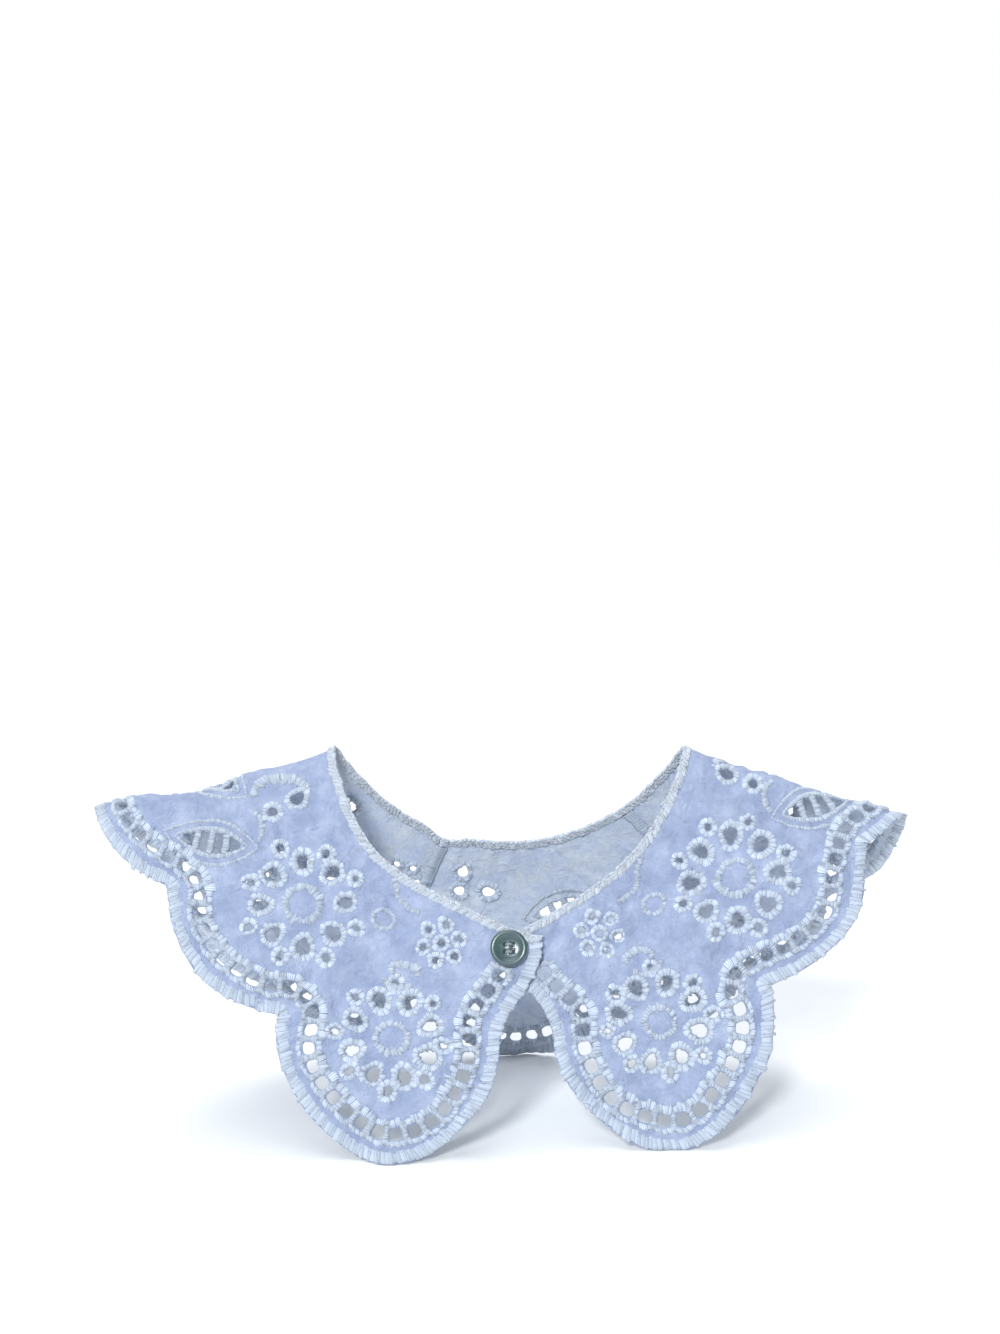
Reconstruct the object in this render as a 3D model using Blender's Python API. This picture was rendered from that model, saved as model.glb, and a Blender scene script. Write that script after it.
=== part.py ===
"""Peter pan collar of white cutwork cotton, standing on a table by itself.

The collar is folded over its two shoulder lines and stands like a small tent on the two front lobes
and on the middle of its back hem.  The front faces -Y, and the wearer's left is on the viewer's right.
Cloth pieces are cut flat as a ring, then laid on a cone whose section is a rounded lens.
"""
import math

import bpy
import numpy as np
from mathutils.geometry import delaunay_2d_cdt

# Sizes.  Pattern lengths are in the units that the photograph gave; SIZE turns them into millimetres.
SIZE = 1.10
WALL = 1.2             # cloth thickness, mm
GAP = 0.3              # between neighbouring pieces, mm

APEX_HEIGHT = 155.9    # where the cone's lines would meet, above the table
LENS_HALF_WIDTH = 3.55  # section half width at unit distance below the apex
LENS_FRONT = 0.386
LENS_BACK = 0.375
LENS_POWER = 1.49
FOLD_SOFTNESS = 2.0    # degrees over which the shoulder fold is rounded
RIDGE = 74.13          # pattern angle of the shoulder line from the middle of the back
SLIDE = 3.36           # the collar has slid round on itself by this angle
PATTERN_TURN = 296.7   # pattern angle that goes once round the cone
UNDERLAP = 0.0280      # right front lies behind the left front, near the neck
UNDERLAP_LOBE = 0.0400  # and steps further back towards the lobe
RIGHT_DROP = 4.9       # the right lobe hangs this much longer on the cone
RIGHT_DRAW = 0.9       # and is drawn this much further round, degrees

LEFT_SEAM = -18.0      # back seams, angles on the pattern
RIGHT_SEAM = 45.5
NECK_BAND = 2.5        # width of the stitched neck binding

# Pattern tables: angle past the shoulder line in degrees, radius from the apex.
NECK = [(-95, 62.4), (-74, 62.6), (-45, 62.8), (-22, 63.6), (-9, 65.0), (0, 66.4), (12, 67.6), (23, 69.2),
        (34, 71.9), (46, 75.0), (56, 77.8), (64, 81.0), (71, 85.0), (78.4, 89.0), (86, 91.0)]
SEAM_DIP = 3.0         # the neck line dips where the left seam pulls on it
LEFT_SAG = 2.9         # and sags a little down the left front
# The left shoulder line lies low in its middle and curls up at its tip: radius, lift in mm.
LEFT_TIP = [(66.0, 0.0), (90.0, -2.2), (118.0, -2.0), (130.0, 0.5), (140.0, 3.3), (150.0, 5.2), (162.0, 6.6)]
LEFT_TIP_SPREAD = 9.0
BACK_NOTCHES = [(-60.0, 147.0), (-34.0, 162.0), (-8.0, 151.6), (19.0, 151.6), (40.0, 158.0), (58.0, 150.0)]
BACK_DEPTH = [5.5, 11.0, 15.6, 10.0, 8.0]
LEFT_NOTCHES = [(-14.13, 147.0), (11.5, 140.8), (36.5, 141.2)]
RIGHT_NOTCHES = [(-16.13, 150.0), (11.2, 141.2), (36.5, 141.2)]
LEFT_DEPTH = [14.2, 8.6]
RIGHT_DEPTH = [11.5, 8.6]
LOBE = [(36.5, 141.2), (37.6, 146.2), (39.5, 152.1), (41.9, 158.0), (44.8, 163.2), (48.3, 168.0),
        (52.2, 171.8), (55.6, 173.4), (58.6, 171.6), (61.7, 166.2), (64.6, 157.7), (67.2, 148.0),
        (68.7, 140.2), (69.5, 131.8)]
LEFT_EDGE = [(69.8, 123.0), (71.2, 115.4), (73.6, 108.5), (76.1, 101.7), (77.8, 95.5), (78.4, 89.0)]
RIGHT_EDGE = [(69.5, 124.5), (70.2, 117.6), (71.9, 111.0), (74.6, 104.6), (78.2, 98.8), (81.4, 93.8),
              (82.8, 89.6)]

LADDER_INSET = 10.4
LADDER_PITCH = 6.45
LADDER_HOLE = (4.9, 4.5)
# Places where the ladder runs further inside (or nearer to the hem): side, angle, radius, by how much, reach.
LADDER_BENDS = [(-1, 14.0, 131.0, 2.2, 4.5), (-1, 32.0, 136.0, -1.1, 7.0), (-1, 40.6, 132.5, 3.8, 9.5),
                (-1, 62.0, 153.0, -1.9, 11.0), (-1, 64.3, 116.0, 2.2, 6.5),
                (1, 18.0, 133.0, 3.0, 8.5), (1, 40.8, 131.0, 4.5, 9.5), (1, 53.0, 164.0, -1.1, 8.0),
                (1, 62.6, 151.0, -2.5, 10.0), (1, 64.3, 119.5, 1.8, 5.0), (1, 69.5, 105.0, -3.0, 6.5)]

# Flowers: side, angle, radius, turn of the petals, petal ring radius.  Side -1 is the viewer's left.
FLOWERS = [(-1, 53.0, 130.5, 9, 14.0), (1, 53.0, 130.5, 9, 14.0),
           (-1, 27.8, 105.4, 0, 15.0), (1, 27.6, 105.4, 0, 15.0),
           (-1, -33.0, 116.0, 12, 14.0), (1, -44.5, 127.0, 12, 14.0), (-1, -71.0, 128.0, 12, 14.0)]
PETAL = (5.7, 4.3)
# Leaves: side, angle, radius, direction of the midrib.
LEAVES = [(-1, 8.3, 119.3, 125), (1, 8.0, 119.3, 125), (-1, -5.0, 111.0, 141), (1, -5.0, 111.0, 141),
          (1, -57.0, 95.0, 176)]
LEAF_HOLE = (12.6, 4.4)
LEAF_BARS = [(-10.6, -6.1), (-4.8, -0.7), (0.7, 4.8), (6.1, 10.6)]
# Single eyelets over 4 mm: side, angle, radius, length, width, direction.
EYELETS = [(-1, -26.1, 74.0, 4.6, 3.9, 20), (-1, -64.9, 77.6, 4.8, 4.2, 90), (-1, -65.2, 86.6, 4.4, 4.0, 60),
           (-1, -72.6, 85.2, 4.9, 4.2, 10), (-1, 8.1, 84.4, 5.6, 4.4, 70), (1, 8.1, 84.4, 5.6, 4.4, 70)]

BUTTON_AT = (71.1, 92.4)
BUTTON_RADIUS = 7.25   # mm
BUTTON_HOLE_SPREAD = 1.45
BUTTON_HOLE_RADIUS = 0.75
SLIT = (13.6, 3.6)     # hole for the shank, mm


def section_table():
    """Unit directions of the cone's section, at equal angles measured along the cloth."""
    turn = np.linspace(-np.pi, np.pi, 24001)
    power = 2.0 / LENS_POWER
    x = LENS_HALF_WIDTH * np.sign(np.sin(turn)) * np.abs(np.sin(turn)) ** power
    cosine = np.cos(turn)
    depth = np.where(cosine >= 0, LENS_BACK, LENS_FRONT)
    y = depth * np.sign(cosine) * np.abs(cosine) ** power
    ray = np.stack([x, y, -np.ones_like(x)], axis=1)
    ray /= np.linalg.norm(ray, axis=1)[:, None]
    step = np.linalg.norm(np.diff(ray, axis=0), axis=1)
    along = np.degrees(np.concatenate([[0.0], np.cumsum(step)]))
    full = along[-1]
    count = 2400
    even = np.arange(count) * full / count
    table = np.stack([np.interp(even, along, ray[:, k]) for k in range(3)], axis=1)
    reach = int(3 * FOLD_SOFTNESS / (full / count))
    offsets = np.arange(-reach, reach + 1)
    weight = np.exp(-0.5 * (offsets * full / count / FOLD_SOFTNESS) ** 2)
    weight /= weight.sum()
    soft = sum(w * np.roll(table, -int(k), axis=0) for w, k in zip(weight, offsets))
    soft /= np.linalg.norm(soft, axis=1)[:, None]
    return full, soft


FULL_TURN, SECTION = section_table()


def direction(angle):
    """Ray from the apex at a signed angle from the middle of the back, positive to the viewer's right."""
    part_turn = np.asarray(angle, float) / PATTERN_TURN + 0.5
    place = (part_turn % 1.0) * len(SECTION)
    low = np.floor(place).astype(int)
    part = (place - low)[..., None]
    ray = SECTION[low % len(SECTION)] * (1 - part) + SECTION[(low + 1) % len(SECTION)] * part
    return ray / np.linalg.norm(ray, axis=-1)[..., None]


def shoulder_lift(q, r):
    table = np.array(LEFT_TIP)
    return np.interp(r, table[:, 0], table[:, 1]) * np.exp(-((q + RIDGE - SLIDE) / LEFT_TIP_SPREAD) ** 2)


def middle(q, r, right_front=False):
    """Middle of the cloth at pattern angle q (degrees, right positive) and radius r, in millimetres."""
    q = np.asarray(q, float)
    r = np.asarray(r, float)
    reach = r
    turn = q
    if right_front:
        turn = q + RIGHT_DRAW * np.clip((q - RIDGE - 18.0) / 25.0, 0, 1)
        hang = np.clip((r - 108.0) / 62.0, 0, 1) * np.clip((q - RIDGE - 30.0) / 12.0, 0, 1)
        reach = r + RIGHT_DROP * hang * hang
    point = direction(turn - SLIDE) * (reach * SIZE)[..., None]
    if right_front:
        t = np.clip((r - 94.0) / 72.0, 0, 1)
        back = UNDERLAP + UNDERLAP_LOBE * t * t * (3 - 2 * t)
        point[..., 1] *= np.where(point[..., 1] < 0, 1 - back / LENS_FRONT, 1.0)
    point[..., 2] += APEX_HEIGHT * SIZE + shoulder_lift(q, r)
    return point


def outward(q, r, right_front=False):
    """Unit normal of the cloth, away from the inside of the collar."""
    across = middle(q + 0.25, r, right_front) - middle(q - 0.25, r, right_front)
    down = middle(q, r + 0.3, right_front) - middle(q, r - 0.3, right_front)
    normal = np.cross(across, down)
    return normal / np.linalg.norm(normal, axis=-1)[..., None]


def placed(q, r, lift, right_front=False):
    """Points lifted off the middle of the cloth; what would sink into the table is cut level with it."""
    point = middle(q, r, right_front) + outward(q, r, right_front) * np.asarray(lift, float)[..., None]
    top = APEX_HEIGHT * SIZE
    low = point[..., 2] < 0
    shrink = np.where(low, top / (top - np.minimum(point[..., 2], 0)), 1.0)
    point[..., 0] *= shrink
    point[..., 1] *= shrink
    point[..., 2] = np.where(low, 0.0, point[..., 2])
    return point


def flat(q, r):
    turn = np.radians(q)
    return np.stack([r * np.sin(turn), -r * np.cos(turn)], axis=-1)


def polar(xy):
    return np.degrees(np.arctan2(xy[..., 0], -xy[..., 1])), np.hypot(xy[..., 0], xy[..., 1])


def curve_through(points, step):
    """Smooth curve through points in the flat, about one point every step."""
    points = np.asarray(points, float)
    ends = np.vstack([2 * points[0] - points[1], points, 2 * points[-1] - points[-2]])
    out = []
    for k in range(1, len(ends) - 2):
        p0, p1, p2, p3 = ends[k - 1:k + 3]
        count = max(1, int(round(np.linalg.norm(p2 - p1) / step)))
        t = (np.arange(count) / count)[:, None]
        out.append(0.5 * (2 * p1 + (p2 - p0) * t + (2 * p0 - 5 * p1 + 4 * p2 - p3) * t ** 2
                          + (3 * p1 - p0 - 3 * p2 + p3) * t ** 3))
    out.append(points[-1:])
    return np.vstack(out)


def neck_radius(q):
    a = np.abs(q) - RIDGE
    table = np.array(NECK)
    fine = curve_through(table, 1.0)
    dip = SEAM_DIP * np.exp(-((q - LEFT_SEAM) / 6.0) ** 2)
    dip = dip + LEFT_SAG * np.exp(-((q + RIDGE + 29.0) / 17.0) ** 2)
    return np.interp(a, fine[:, 0], fine[:, 1]) + dip


def scallops(notches, depths, step):
    """Row of scallops through its notches, given as (pattern angle, radius), without the last notch."""
    out = []
    for (q0, r0), (q1, r1), depth in zip(notches, notches[1:], depths):
        count = max(2, int(round(abs(q1 - q0) * 2.6 / step)))
        t = np.arange(count) / count
        out.append(flat(q0 + (q1 - q0) * t, r0 + (r1 - r0) * t + depth * np.sin(np.pi * t)))
    return np.vstack(out)


def hem_side(side, step):
    """Hem from behind the shoulder round to the front corner of the neck, in the flat."""
    notches = [(side * (RIDGE + a), r) for a, r in (LEFT_NOTCHES if side < 0 else RIGHT_NOTCHES)]
    table = np.array(LOBE + (LEFT_EDGE if side < 0 else RIGHT_EDGE))
    control = flat(side * (RIDGE + table[:, 0]), table[:, 1])
    return np.vstack([scallops(notches, LEFT_DEPTH if side < 0 else RIGHT_DEPTH, step), curve_through(control, step)])


def hem(step):
    """Whole hem, from the front corner on the viewer's left round the back to the one on the right."""
    return np.vstack([hem_side(-1, step)[:0:-1], scallops(BACK_NOTCHES, BACK_DEPTH, step), hem_side(1, step)])


def ladder_line():
    """Line of the ladder holes: the hem moved inwards, going round each notch."""
    edge = hem(0.6)
    tangent = np.gradient(edge, axis=0)
    tangent /= np.linalg.norm(tangent, axis=1)[:, None]
    inward = np.stack([-tangent[:, 1], tangent[:, 0]], axis=1)
    if np.dot(inward[len(edge) // 2], -edge[len(edge) // 2]) < 0:
        inward = -inward
    fan = []
    for k in range(len(edge) - 1):
        fan.append(edge[k] + inward[k] * LADDER_INSET)
        swing = math.atan2(np.cross(inward[k], inward[k + 1]), np.dot(inward[k], inward[k + 1]))
        for m in range(1, int(abs(swing) / 0.08) + 1):
            part = swing * m / (int(abs(swing) / 0.08) + 1)
            c, s = math.cos(part), math.sin(part)
            ray = np.array([c * inward[k][0] - s * inward[k][1], s * inward[k][0] + c * inward[k][1]])
            fan.append(edge[k] + ray * LADDER_INSET)
    fan = np.array(fan)
    reach = np.min(np.linalg.norm(fan[:, None] - edge[None], axis=2), axis=1)
    line = fan[reach > LADDER_INSET - 0.12]
    for _ in range(30):
        line[1:-1] = 0.5 * line[1:-1] + 0.25 * (line[:-2] + line[2:])
    return bent(line)


def bent(line):
    """The ladder line, drawn further inside or nearer to the hem at its bends."""
    along = np.gradient(line, axis=0)
    along /= np.linalg.norm(along, axis=1)[:, None]
    inward = np.stack([-along[:, 1], along[:, 0]], axis=1)
    if np.dot(inward[len(line) // 2], -line[len(line) // 2]) < 0:
        inward = -inward
    amount = np.zeros(len(line))
    for side, a, r, by, reach in LADDER_BENDS:
        away = np.linalg.norm(line - flat(np.array(side * (RIDGE + a)), np.array(r)), axis=1)
        amount += by * np.exp(-(away / reach) ** 2)
    return line + inward * amount[:, None]


def ladder_holes():
    line = ladder_line()
    q, r = polar(line)
    line = line[~((np.abs(q) > RIDGE + 60) & (r < 99.0))]
    length = np.concatenate([[0], np.cumsum(np.linalg.norm(np.diff(line, axis=0), axis=1))])
    count = int(length[-1] / LADDER_PITCH)
    at = (np.arange(count) + 0.5) * length[-1] / count
    centre = np.stack([np.interp(at, length, line[:, k]) for k in (0, 1)], axis=1)
    ahead = np.stack([np.interp(at + 1.5, length, line[:, k]) for k in (0, 1)], axis=1)
    behind = np.stack([np.interp(at - 1.5, length, line[:, k]) for k in (0, 1)], axis=1)
    along = ahead - behind
    along /= np.linalg.norm(along, axis=1)[:, None]
    holes = []
    a, b = LADDER_HOLE[0] / 2, LADDER_HOLE[1] / 2
    shape = [(a, b * 0.45), (a * 0.45, b), (-a * 0.45, b), (-a, b * 0.45),
             (-a, -b * 0.45), (-a * 0.45, -b), (a * 0.45, -b), (a, -b * 0.45)]
    for c, t in zip(centre, along):
        q, r = polar(c)
        clear = [abs(math.radians(q - seam) * r) for seam in (LEFT_SEAM, RIGHT_SEAM)]
        if min(clear) < a + 1.4:
            continue
        n = np.array([-t[1], t[0]])
        holes.append(np.array([c + t * u + n * v for u, v in shape]))
    return holes


def motif_frame(side, a, r):
    q = side * (RIDGE + a)
    centre = flat(np.array(q), np.array(float(r)))
    radial = centre / np.linalg.norm(centre)
    turn = math.radians(q)
    forward = side * np.array([math.cos(turn), math.sin(turn)])
    return centre, forward, radial


def motif_polygon(frame, points):
    centre, forward, radial = frame
    return np.array([centre + forward * u + radial * v for u, v in points])


def teardrop(length, width, at, angle):
    """Petal eyelet: round outside end, pointed towards the middle of its flower."""
    outline = [(-0.55, 0.0), (-0.22, 0.30), (0.12, 0.48), (0.40, 0.33), (0.50, 0.0),
               (0.40, -0.33), (0.12, -0.48), (-0.22, -0.30)]
    c, s = math.cos(angle), math.sin(angle)
    return [(at[0] + c * u * length - s * v * width, at[1] + s * u * length + c * v * width)
            for u, v in outline]


def motif_holes():
    holes = []
    for side, a, r, turn, ring in FLOWERS:
        frame = motif_frame(side, a, r)
        for k in range(8):
            angle = math.radians(turn + 45 * k)
            at = (ring * math.cos(angle), ring * math.sin(angle))
            holes.append(motif_polygon(frame, teardrop(PETAL[0], PETAL[1], at, angle)))
    for side, a, r, rib in LEAVES:
        frame = motif_frame(side, a, r)
        c, s = math.cos(math.radians(rib)), math.sin(math.radians(rib))
        for low, high in LEAF_BARS:
            us = [low, (low + high) / 2, high]
            half = [LEAF_HOLE[1] * (1 - (u / LEAF_HOLE[0]) ** 2) for u in us]
            ring = [(u, h) for u, h in zip(us, half)] + [(u, -h) for u, h in zip(us[::-1], half[::-1])]
            holes.append(motif_polygon(frame, [(c * u - s * v, s * u + c * v) for u, v in ring]))
    for side, a, r, length, width, angle in EYELETS:
        frame = motif_frame(side, a, r)
        holes.append(motif_polygon(frame, teardrop(length, width, (0, 0), math.radians(angle))))
    return holes


def slit_hole():
    frame = motif_frame(-1, *BUTTON_AT)
    a, b = SLIT[0] / 2 / SIZE, SLIT[1] / 2 / SIZE
    end = b * 0.6
    points = [(-a, 0), (-a + end, b), (-a / 3, b), (a / 3, b), (a - end, b), (a, 0),
              (a - end, -b), (a / 3, -b), (-a / 3, -b), (-a + end, -b)]
    return motif_polygon(frame, points)


def inside(points, ring):
    """Which points lie inside a closed ring."""
    x, y = points[:, 0][:, None], points[:, 1][:, None]
    x0, y0 = ring[:, 0][None], ring[:, 1][None]
    x1, y1 = np.roll(ring[:, 0], -1)[None], np.roll(ring[:, 1], -1)[None]
    spans = (y0 > y) != (y1 > y)
    with np.errstate(divide="ignore", invalid="ignore"):
        cross = x < (x1 - x0) * (y - y0) / np.where(y1 == y0, 1e-12, y1 - y0) + x0
    return np.sum(spans & cross, axis=1) % 2 == 1


def resample(line, step):
    length = np.concatenate([[0], np.cumsum(np.linalg.norm(np.diff(line, axis=0), axis=1))])
    count = max(2, int(round(length[-1] / step)))
    at = np.linspace(0, length[-1], count + 1)
    return np.stack([np.interp(at, length, line[:, k]) for k in (0, 1)], axis=1)


def hem_between(low, high):
    """Hem between two pattern angles, its notches kept."""
    out = []
    edge = hem(0.5)
    q, _ = polar(edge)
    start = 0 if low is None else int(np.argmin(np.abs(q - low)))
    stop = len(edge) - 1 if high is None else int(np.argmin(np.abs(q - high)))
    spots = BACK_NOTCHES + [(-RIDGE - a, r) for a, r in LEFT_NOTCHES[1:]]
    spots += [(RIDGE + a, r) for a, r in RIGHT_NOTCHES[1:]]
    notch_at = [int(np.argmin(np.linalg.norm(edge - flat(np.array(a), np.array(r)), axis=1))) for a, r in spots]
    cuts = sorted([start] + [k for k in notch_at if start + 4 < k < stop - 4] + [stop])
    for k0, k1 in zip(cuts, cuts[1:]):
        part = resample(edge[k0:k1 + 1], 3.6)
        out.append(part[:-1])
    out.append(edge[stop:stop + 1])
    return np.vstack(out)


def piece_outline(low, high):
    """Closed outline in the flat of the cloth between two pattern angles; None means a front edge."""
    edge = hem_between(low, high)
    q, r = polar(edge)
    gap = GAP / 2 / SIZE
    if low is not None:
        q[0] = low
        edge[0] = flat(q[0] + np.degrees(gap / r[0]), r[0])
    if high is not None:
        q[-1] = high
        edge[-1] = flat(q[-1] - np.degrees(gap / r[-1]), r[-1])
    inset = (NECK_BAND + GAP) / SIZE
    first, last = q[0], q[-1]
    count = max(4, int(abs(last - first) * 1.25 / 4.0))
    neck_q = np.linspace(last, first, count + 1)
    neck_r = neck_radius(neck_q) + inset
    if low is not None:
        neck_q[-1] += np.degrees(gap / neck_r[-1])
    if high is not None:
        neck_q[0] -= np.degrees(gap / neck_r[0])
    neck = flat(neck_q, neck_r)
    rim = [edge]
    if high is None:
        edge = edge[r > neck_radius(q) + inset + 1.2]
        rim = [edge]
    if low is None:
        edge = edge[polar(edge)[1] > neck_radius(polar(edge)[0]) + inset + 1.2]
        rim = [edge]
    if high is not None:
        side = np.linspace(0, 1, 15)[1:-1, None]
        rim.append(edge[-1] + (neck[0] - edge[-1]) * side)
    rim.append(neck)
    if low is not None:
        side = np.linspace(0, 1, 15)[1:-1, None]
        rim.append(neck[-1] + (edge[0] - neck[-1]) * side)
    return np.vstack(rim)


def fill_points(outline, holes):
    """Loose points inside a piece: an even grid, and close rows along the shoulder fold."""
    taken = np.vstack([outline] + holes)
    fold = []
    for side in (-1, 1):
        for da in (-7.0, -4.6, -2.8, -1.2, 0.4, 2.0, 3.8, 6.2):
            at = side * RIDGE + SLIDE + side * da
            for r in np.arange(69.0, 160.0, 7.5 if abs(da) > 3 else 5.2):
                fold.append(flat(np.array(at), np.array(r)))
    rows = []
    step = 8.6
    for j, y in enumerate(np.arange(-180, 180, step * 0.866)):
        for x in np.arange(-180, 180, step):
            rows.append((x + (step / 2 if j % 2 else 0), y))
    fold = np.array(fold)
    rows = np.array(rows)
    q, r = polar(rows)
    near_fold = np.min(np.abs(np.stack([q - SLIDE - RIDGE, q - SLIDE + RIDGE])), axis=0) < 8.5
    rows = rows[~near_fold]
    points = np.vstack([fold, rows])
    keep = inside(points, outline)
    points = points[keep]
    gap = np.min(np.linalg.norm(points[:, None] - taken[None], axis=2), axis=1)
    points = points[gap > 1.9]
    for hole in holes:
        points = points[~inside(points, hole)]
    return points


def cloth_mesh(outline, holes, right_front):
    """Closed wall of cloth with its eyelets cut through."""
    holes = [h for h in holes if inside(h, outline).all()]
    loops = [outline] + holes
    loose = fill_points(outline, holes)
    points = np.vstack(loops + [loose])
    edges = []
    start = 0
    for loop in loops:
        n = len(loop)
        edges += [(start + k, start + (k + 1) % n) for k in range(n)]
        start += n
    result = delaunay_2d_cdt([tuple(p) for p in points], edges, [], 0, 1e-5)
    xy = np.array([tuple(v) for v in result[0]])
    tris = np.array([tuple(f) for f in result[2]])
    corner = xy[tris]
    area = np.cross(corner[:, 1] - corner[:, 0], corner[:, 2] - corner[:, 0]) / 2
    tris = np.where((area < 0)[:, None], tris[:, ::-1], tris)
    centre = corner.mean(axis=1)
    keep = inside(centre, outline) & (np.abs(area) > 1e-4)
    for hole in holes:
        keep &= ~inside(centre, hole)
    tris = tris[keep]
    used = np.unique(tris)
    renumber = np.full(len(xy), -1)
    renumber[used] = np.arange(len(used))
    xy, tris = xy[used], renumber[tris]
    q, r = polar(xy)
    count = len(xy)
    outer = placed(q, r, np.full(count, WALL / 2), right_front)
    inner = placed(q, r, np.full(count, -WALL / 2), right_front)
    verts = np.vstack([outer, inner])
    sample = tris[len(tris) // 2]
    face = np.cross(outer[sample[1]] - outer[sample[0]], outer[sample[2]] - outer[sample[0]])
    if np.dot(face, outward(q[sample[:1]], r[sample[:1]], right_front)[0]) < 0:
        tris = tris[:, ::-1]
    faces = [tuple(t) for t in tris] + [tuple(t[::-1] + count) for t in tris]
    sides = {}
    for t in tris:
        for u, v in ((t[0], t[1]), (t[1], t[2]), (t[2], t[0])):
            sides[(int(u), int(v))] = True
    for u, v in sides:
        if (v, u) not in sides:
            faces.append((v, u, u + count))
            faces.append((v, u + count, v + count))
    return verts, faces


def swept(stations, ring):
    """Closed bar: stations of (point, side vector, up vector), ring of (side, up) offsets."""
    n = len(ring)
    verts = [p + a * u + b * v for p, a, b in stations for u, v in ring]
    faces = []
    for k in range(len(stations) - 1):
        for m in range(n):
            i, j = k * n + m, k * n + (m + 1) % n
            faces.append((i, j, j + n))
            faces.append((i, j + n, i + n))
    last = (len(stations) - 1) * n
    for m in range(1, n - 1):
        faces.append((0, m + 1, m))
        faces.append((last, last + m, last + m + 1))
    verts = np.array(verts)
    if signed_volume(verts, faces) < 0:
        faces = [f[::-1] for f in faces]
    return verts, faces


def signed_volume(verts, faces):
    total = 0.0
    for f in faces:
        a = verts[f[0]]
        for k in range(1, len(f) - 1):
            total += np.dot(a, np.cross(verts[f[k]], verts[f[k + 1]])) / 6
    return total


def rounded_ring(width, height, corners=8):
    turn = (np.arange(corners) + 0.5) / corners * 2 * np.pi
    return [(width / 2 * np.sign(math.cos(t)) * abs(math.cos(t)) ** 0.7,
             height / 2 * np.sign(math.sin(t)) * abs(math.sin(t)) ** 0.7) for t in turn]


def neck_binding():
    """Stitched binding that closes the raw neck edge, one strip from front corner to front corner."""
    low, high = -(RIDGE + 78.2), RIDGE + 82.6
    stations = []
    for q in np.linspace(low, high, 118):
        r = neck_radius(np.array(q)) + NECK_BAND / 2 / SIZE
        right = q > 0
        q1, r1 = np.array([q]), np.array([float(r)])
        point = middle(q1, r1, right)[0]
        normal = outward(q1, r1, right)[0]
        down = middle(q1, r1 + 0.3, right)[0] - middle(q1, r1 - 0.3, right)[0]
        down /= np.linalg.norm(down)
        stations.append((point, down, normal))
    return swept(stations, rounded_ring(NECK_BAND, 1.5))


def seam_strip(q0):
    """Overlocked allowance of a back seam, lying on the inside of the cloth."""
    low = float(neck_radius(np.array(q0))) + 4.5
    high = 132.0
    stations = []
    right = q0 > 0
    for r in np.linspace(low, high, 14):
        q1, r1 = np.array([q0]), np.array([r])
        normal = outward(q1, r1, right)[0]
        point = middle(q1, r1, right)[0] - normal * (WALL / 2 + GAP + 0.45)
        across = middle(q1 + 0.3, r1, right)[0] - middle(q1 - 0.3, r1, right)[0]
        across /= np.linalg.norm(across)
        stations.append((point, across, normal))
    return swept(stations, rounded_ring(4.4, 0.9))


def button_frame():
    q1, r1 = np.array([-(RIDGE + BUTTON_AT[0])]), np.array([BUTTON_AT[1]])
    normal = outward(q1, r1)[0]
    down = middle(q1, r1 + 0.3)[0] - middle(q1, r1 - 0.3)[0]
    down /= np.linalg.norm(down)
    return middle(q1, r1)[0], np.cross(down, normal), -down, normal


def button_mesh():
    """Four-hole button with a raised rim and a dished face."""
    centre, across, up, normal = button_frame()
    rings = [(2.9, 10), (4.7, 20), (5.7, 28), (6.6, 32), (BUTTON_RADIUS, 32)]
    loops = []
    for radius, count in rings[::-1]:
        turn = np.arange(count) / count * 2 * np.pi
        loops.append(np.stack([radius * np.cos(turn), radius * np.sin(turn)], axis=1))
    for sx, sy in ((1, 1), (-1, 1), (-1, -1), (1, -1)):
        turn = np.arange(10) / 10 * 2 * np.pi
        loops.append(np.stack([sx * BUTTON_HOLE_SPREAD + BUTTON_HOLE_RADIUS * np.cos(turn),
                               sy * BUTTON_HOLE_SPREAD + BUTTON_HOLE_RADIUS * np.sin(turn)], axis=1))
    points = np.vstack(loops + [np.zeros((1, 2))])
    edges = []
    start = 0
    for loop in loops:
        n = len(loop)
        edges += [(start + k, start + (k + 1) % n) for k in range(n)]
        start += n
    result = delaunay_2d_cdt([tuple(p) for p in points], edges, [], 0, 1e-6)
    xy = np.array([tuple(v) for v in result[0]])
    tris = np.array([tuple(f) for f in result[2]])
    corner = xy[tris]
    area = np.cross(corner[:, 1] - corner[:, 0], corner[:, 2] - corner[:, 0]) / 2
    tris = np.where((area < 0)[:, None], tris[:, ::-1], tris)
    mid = corner.mean(axis=1)
    keep = np.abs(area) > 1e-6
    for hole in loops[-4:]:
        keep &= ~inside(mid, hole)
    tris = tris[keep]
    radius = np.hypot(xy[:, 0], xy[:, 1])
    top = np.interp(radius, [0, 2.9, 4.7, 5.7, 6.6, 7.25], [1.55, 1.6, 2.0, 2.45, 2.4, 1.7])
    bottom = np.interp(radius, [0, 4.7, 6.6, 7.25], [0.0, 0.0, 0.25, 0.9])
    base = centre + normal * (WALL / 2 + 0.8)
    place = base + across * xy[:, :1] + up * xy[:, 1:2]
    count = len(xy)
    verts = np.vstack([place + normal * top[:, None], place + normal * bottom[:, None]])
    faces = [tuple(t) for t in tris] + [tuple(t[::-1] + count) for t in tris]
    sides = {}
    for t in tris:
        for u, v in ((t[0], t[1]), (t[1], t[2]), (t[2], t[0])):
            sides[(int(u), int(v))] = True
    for u, v in sides:
        if (v, u) not in sides:
            faces.append((v, u, u + count))
            faces.append((v, u + count, v + count))
    if signed_volume(verts, faces) < 0:
        faces = [f[::-1] for f in faces]
    return verts, faces


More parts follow.
